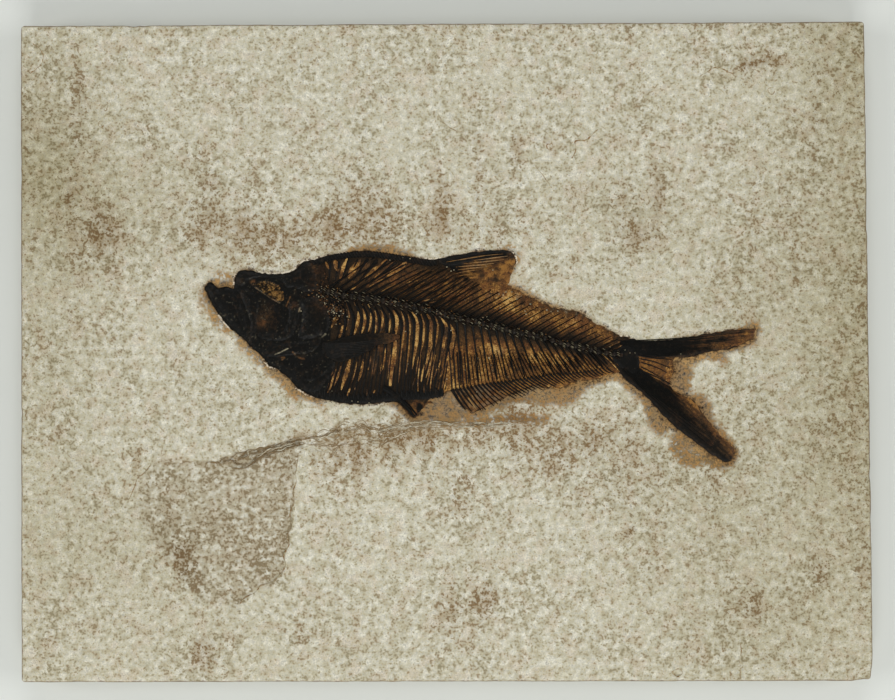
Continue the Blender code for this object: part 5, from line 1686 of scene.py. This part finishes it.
def makeTail():
    upper = fanRays(
        [(83.5, 5), (85, 2.4), (89, -1)],
        [(147.2, 9.6), (145, 7), (137, 3), (124, 0.4), (109, -2.2)], 20, 14, -0.012,
    )
    lower = fanRays(
        [(84.5, -8.8), (86.5, -6.6), (90, -6.2)],
        [(135.6, -52), (137.8, -48.6), (130.8, -40), (122, -29.4), (107.5, -17.4)], 22, 14, -0.02,
    )
    middle = [
        smoothLine(line, 10)
        for line in (
            [(92.6, -2), (100, -3.2), (108.4, -3.8)],
            [(93.4, -3.6), (99.4, -4.8), (103.7, -6.4), (107.3, -7.8)],
            [(93.6, -5.2), (98.6, -6.8), (103, -8.6), (106, -10.2)],
            [(93.4, -7.4), (97.2, -9.2), (101, -11.4), (104, -13)],
            [(93.4, -9), (98, -11), (103, -13.2), (108.3, -16)],
            [(93.6, -10.2), (98.2, -12.2), (103.4, -15), (107.8, -17.4)],
        )
    ]

    def upperTone(x, y):
        streaks = softNoise(x * 0.1, y * 1.8 - x * 0.18, 1, 421)
        slanted = x - (y - 5) * 1.6
        tone = 0.08 * ease(slanted, 112, 126) + 0.45 * ease(slanted, 130, 143)
        tone = tone * (1 + 0.6 * streaks + 1 * roughNoise(x, y, 3, 427, 2))
        return tone + 0.22 * ease(x, 98, 125) * np.clip(streaks + 0.1, 0, 1) + 0.06

    def lowerTone(x, y):
        streaks = softNoise((x - y) * 0.07, (x + y) * 1.3, 1, 431)
        tone = 0.6 * ease(x + y, 83, 94) * (1 + 0.7 * streaks)
        return tone + 0.35 * ease(x + y, 79, 88) * np.clip(streaks + 0.1, 0, 1) + 0.06

    upperLobe = finPlate(
        [*tailTop, *tailNotchUpper, (100, -2.5), (93, -2.4), (89, -1.5)],
        lambda x, y, d: boneTones(x, upperTone(x, y)), tear=0.9,
    )
    lowerLobe = finPlate(
        [(81.5, -5.4), (87.5, -5.2), (90.4, -8), (93, -9.9), (97.7, -12.8), (102.5, -15.2), (106.8, -17.2),
         *tailNotchLower, *tailBottom],
        lambda x, y, d: boneTones(x, lowerTone(x, y)), tear=0.7,
    )
    centre = finPlate(
        [(91.5, -1.6), (99, -2.8), (106.4, -3.6), (107.4, -5.6), (105.6, -8), (106.2, -10.6), (104.4, -12.4),
         (107.2, -15), (106.4, -16.8), (102.5, -14.8), (97.7, -12.3), (92.9, -9.4), (91, -5.5)],
        lambda x, y, d: boneTones(x, 0.75 - 0.35 * ease(x, 99, 107)), -0.05,
    )
    hub = finPlate(
        [(80, -1), (84, 2.5), (88, 3), (92, -1.5), (92.5, -8.5), (89, -11), (84, -7.5), (80, -4)],
        lambda x, y, d: boneTones(x), 0.3,
    )
    upperAmber = upperTone(upper[..., 0], upper[..., 1]) * 0.7 - 0.12
    lowerAmber = lowerTone(lower[..., 0], lower[..., 1]) * 0.7 - 0.12
    parts = [upperLobe, rayBones(upper, 0.36, 0.4, upperAmber)]
    bonePiece("tail_upper_lobe_rays", parts, "tail_upper_lobe")
    parts = [lowerLobe, hub, rayBones(lower, 0.36, 0.4, lowerAmber)]
    bonePiece("tail_lower_lobe_rays", parts, "tail_lower_lobe")
    parts = [centre, rayBones(np.array(middle), 0.42, 0.35, 0)]
    bonePiece("tail_middle_ray_fan", parts, "tail_middle_rays")


makeDorsalFin()
makeAnalFin()
makePelvicFin()
makePectoralFin()
makeTail()
print("stage: fins")


# Pale grains that stand on the fish, their pale colour partly painted glints: place on the tracing grid and
# radius in millimetres.
paleGrainsAndGlints = [
    (500, 308, 0.38), (530.5, 304, 0.46), (517, 299, 0.5), (509, 298.5, 0.38), (547, 310, 0.46),
    (551, 311.5, 0.5), (558, 311, 0.38), (483, 317.5, 0.34), (525, 311, 0.34), (526, 314, 0.34),
    (487, 317, 0.29), (451, 330.5, 0.38), (405.5, 331.5, 0.38), (408, 364, 0.34), (447, 379, 0.42),
    (499, 294, 0.38), (506, 292, 0.42), (512, 292, 0.38), (465, 300, 0.34), (447, 267, 0.34),
    (451, 271, 0.38), (454, 270, 0.34), (486, 266, 0.42), (493, 270, 0.34), (303, 284, 0.42),
    (309, 290, 0.38), (325, 333.5, 0.42), (332, 391, 0.29), (301, 311, 0.34), (390, 260, 0.25),
    (403, 257.5, 0.29), (410, 258.5, 0.34), (352, 401, 0.34), (358, 402, 0.29), (369, 403, 0.34),
    (477, 392, 0.38), (500, 392, 0.25), (489, 358, 0.42), (491, 365, 0.34), (478, 358, 0.34),
    (465, 370, 0.25), (508, 377, 0.34), (610, 347, 0.25), (630, 353, 0.38), (635, 353, 0.34),
    (625, 350, 0.25), (707, 354, 0.34), (681, 354, 0.25), (276, 338.5, 0.34), (267, 363, 0.29),
]
grains = {"count": 840, "seed": 77}


def makeGrains(shape):
    # Little domes: rings of six points that close at the top and the foot.
    rng = np.random.default_rng(shape["seed"])
    third = shape["count"] // 3
    neck, shoulder = rng.normal(-58.5, 5, third), rng.normal(-53.5, 2.4, third)
    x = np.concatenate([neck, shoulder, rng.uniform(-60, 60, third)])
    y = np.concatenate([rng.normal(26, 4.6, third), rng.normal(19.6, 2.4, third), np.zeros(third)])
    y[2 * third :] = heightOf(spineLine, x[2 * third :]) + rng.normal(0, 1.5, third)
    size = rng.uniform(0.2, 0.5, len(x)) * np.where(np.arange(len(x)) < 2 * third, 1, 0.7)
    standing = np.array(paleGrainsAndGlints)
    standing[:, :2] = traced(standing[:, :2])
    x, y = np.concatenate([x, standing[:, 0]]), np.concatenate([y, standing[:, 1]])
    size = np.concatenate([size, standing[:, 2] * 0.85])
    level = np.radians([-20, 15, 50, 78])
    turn = np.arange(6) / 6 * 2 * math.pi
    ring = np.cos(level)[:, None] * np.stack([np.cos(turn), np.sin(turn)])[:, None, :]
    points = np.empty((len(x), 4, 6, 3))
    stretch = rng.uniform(0.6, 1.5, len(x))
    points[..., 0] = x[:, None, None] + ring[0] * (size * stretch)[:, None, None]
    points[..., 1] = y[:, None, None] + ring[1] * size[:, None, None]
    bed = bodyHeight(x, y) + np.where(np.arange(len(x)) < 2 * third, 0.35, 0.8)
    points[..., 2] = bed[:, None, None] + np.sin(level)[None, :, None] * size[:, None, None]
    # a few of the grains, and all the listed pale ones, carry a painted glint
    bright = np.where(np.arange(len(x)) < third, 0.06, np.where(np.arange(len(x)) < 2 * third, 0.09, 0.04))
    pale = np.where(rng.random(len(x)) < bright, rng.uniform(0.25, 0.8, len(x)), 0)
    pale[-len(standing) :] = rng.uniform(0.2, 0.7, len(standing))
    amber = rng.uniform(-0.6, 0.75, len(x)).clip(0, 1)
    part = bones(points, {"amber": amber[:, None, None], "pale": pale[:, None, None]})
    bonePiece("loose_grains", [part])


makeGrains(grains)
print("stage: grains")


studio = {
    "floorSize": 4000.0,
    "ambient": 0.15,
    "lights": [  # azimuth, height, energy
        (180.0, 0.62, 14.8),
        (0.0, 0.62, 8.4),
        (90.0, 0.62, 9.6),
        (270.0, 0.62, 9.6),
    ],
    "lightDistance": 1.25,
    "lightSize": 0.9,
    "cameraHeight": 0.612,
}


def makeStudio(setting):
    half = setting["floorSize"] / 2
    points = np.array([(-half, -half, 0.0), (half, -half, 0.0), (half, half, 0.0), (-half, half, 0.0)])
    mesh = bpy.data.meshes.new("pale_floor")
    mesh.from_pydata([tuple(p * mm - np.array([0.0, 0.0, 0.0002])) for p in points], [], [(0, 1, 2, 3)])
    mesh.materials.append(floorFinish())
    floor = bpy.data.objects.new("pale_floor", mesh)
    bpy.context.scene.collection.objects.link(floor)
    world = bpy.data.worlds.new("soft_room")
    bpy.context.scene.world = world
    world.use_nodes = True
    world.node_tree.nodes["Background"].inputs["Color"].default_value = (1.0, 1.0, 0.98, 1.0)
    world.node_tree.nodes["Background"].inputs["Strength"].default_value = setting["ambient"]
    for number, (azimuth, height, energy) in enumerate(setting["lights"], 1):
        light = bpy.data.lights.new(f"softbox_{number}", "AREA")
        light.energy = energy
        light.shape = "SQUARE"
        light.size = setting["lightSize"]
        box = bpy.data.objects.new(f"softbox_{number}", light)
        turn = math.radians(azimuth)
        reach = setting["lightDistance"]
        box.location = (math.sin(turn) * reach, math.cos(turn) * reach, height * reach)
        box.rotation_euler = (math.atan2(1.0, height), 0.0, math.pi - turn)
        bpy.context.scene.collection.objects.link(box)
    camera = bpy.data.cameras.new("camera_above")
    camera.lens = 50.0
    camera.sensor_width = 36.0
    camera.clip_start = 0.01
    camera.clip_end = 20.0
    holder = bpy.data.objects.new("camera_above", camera)
    holder.location = (0.0005, 0.0007, setting["cameraHeight"])
    bpy.context.scene.collection.objects.link(holder)
    bpy.context.scene.camera = holder
    bpy.context.scene.view_settings.view_transform = "Standard"


makeStudio(studio)
print("stage: studio")
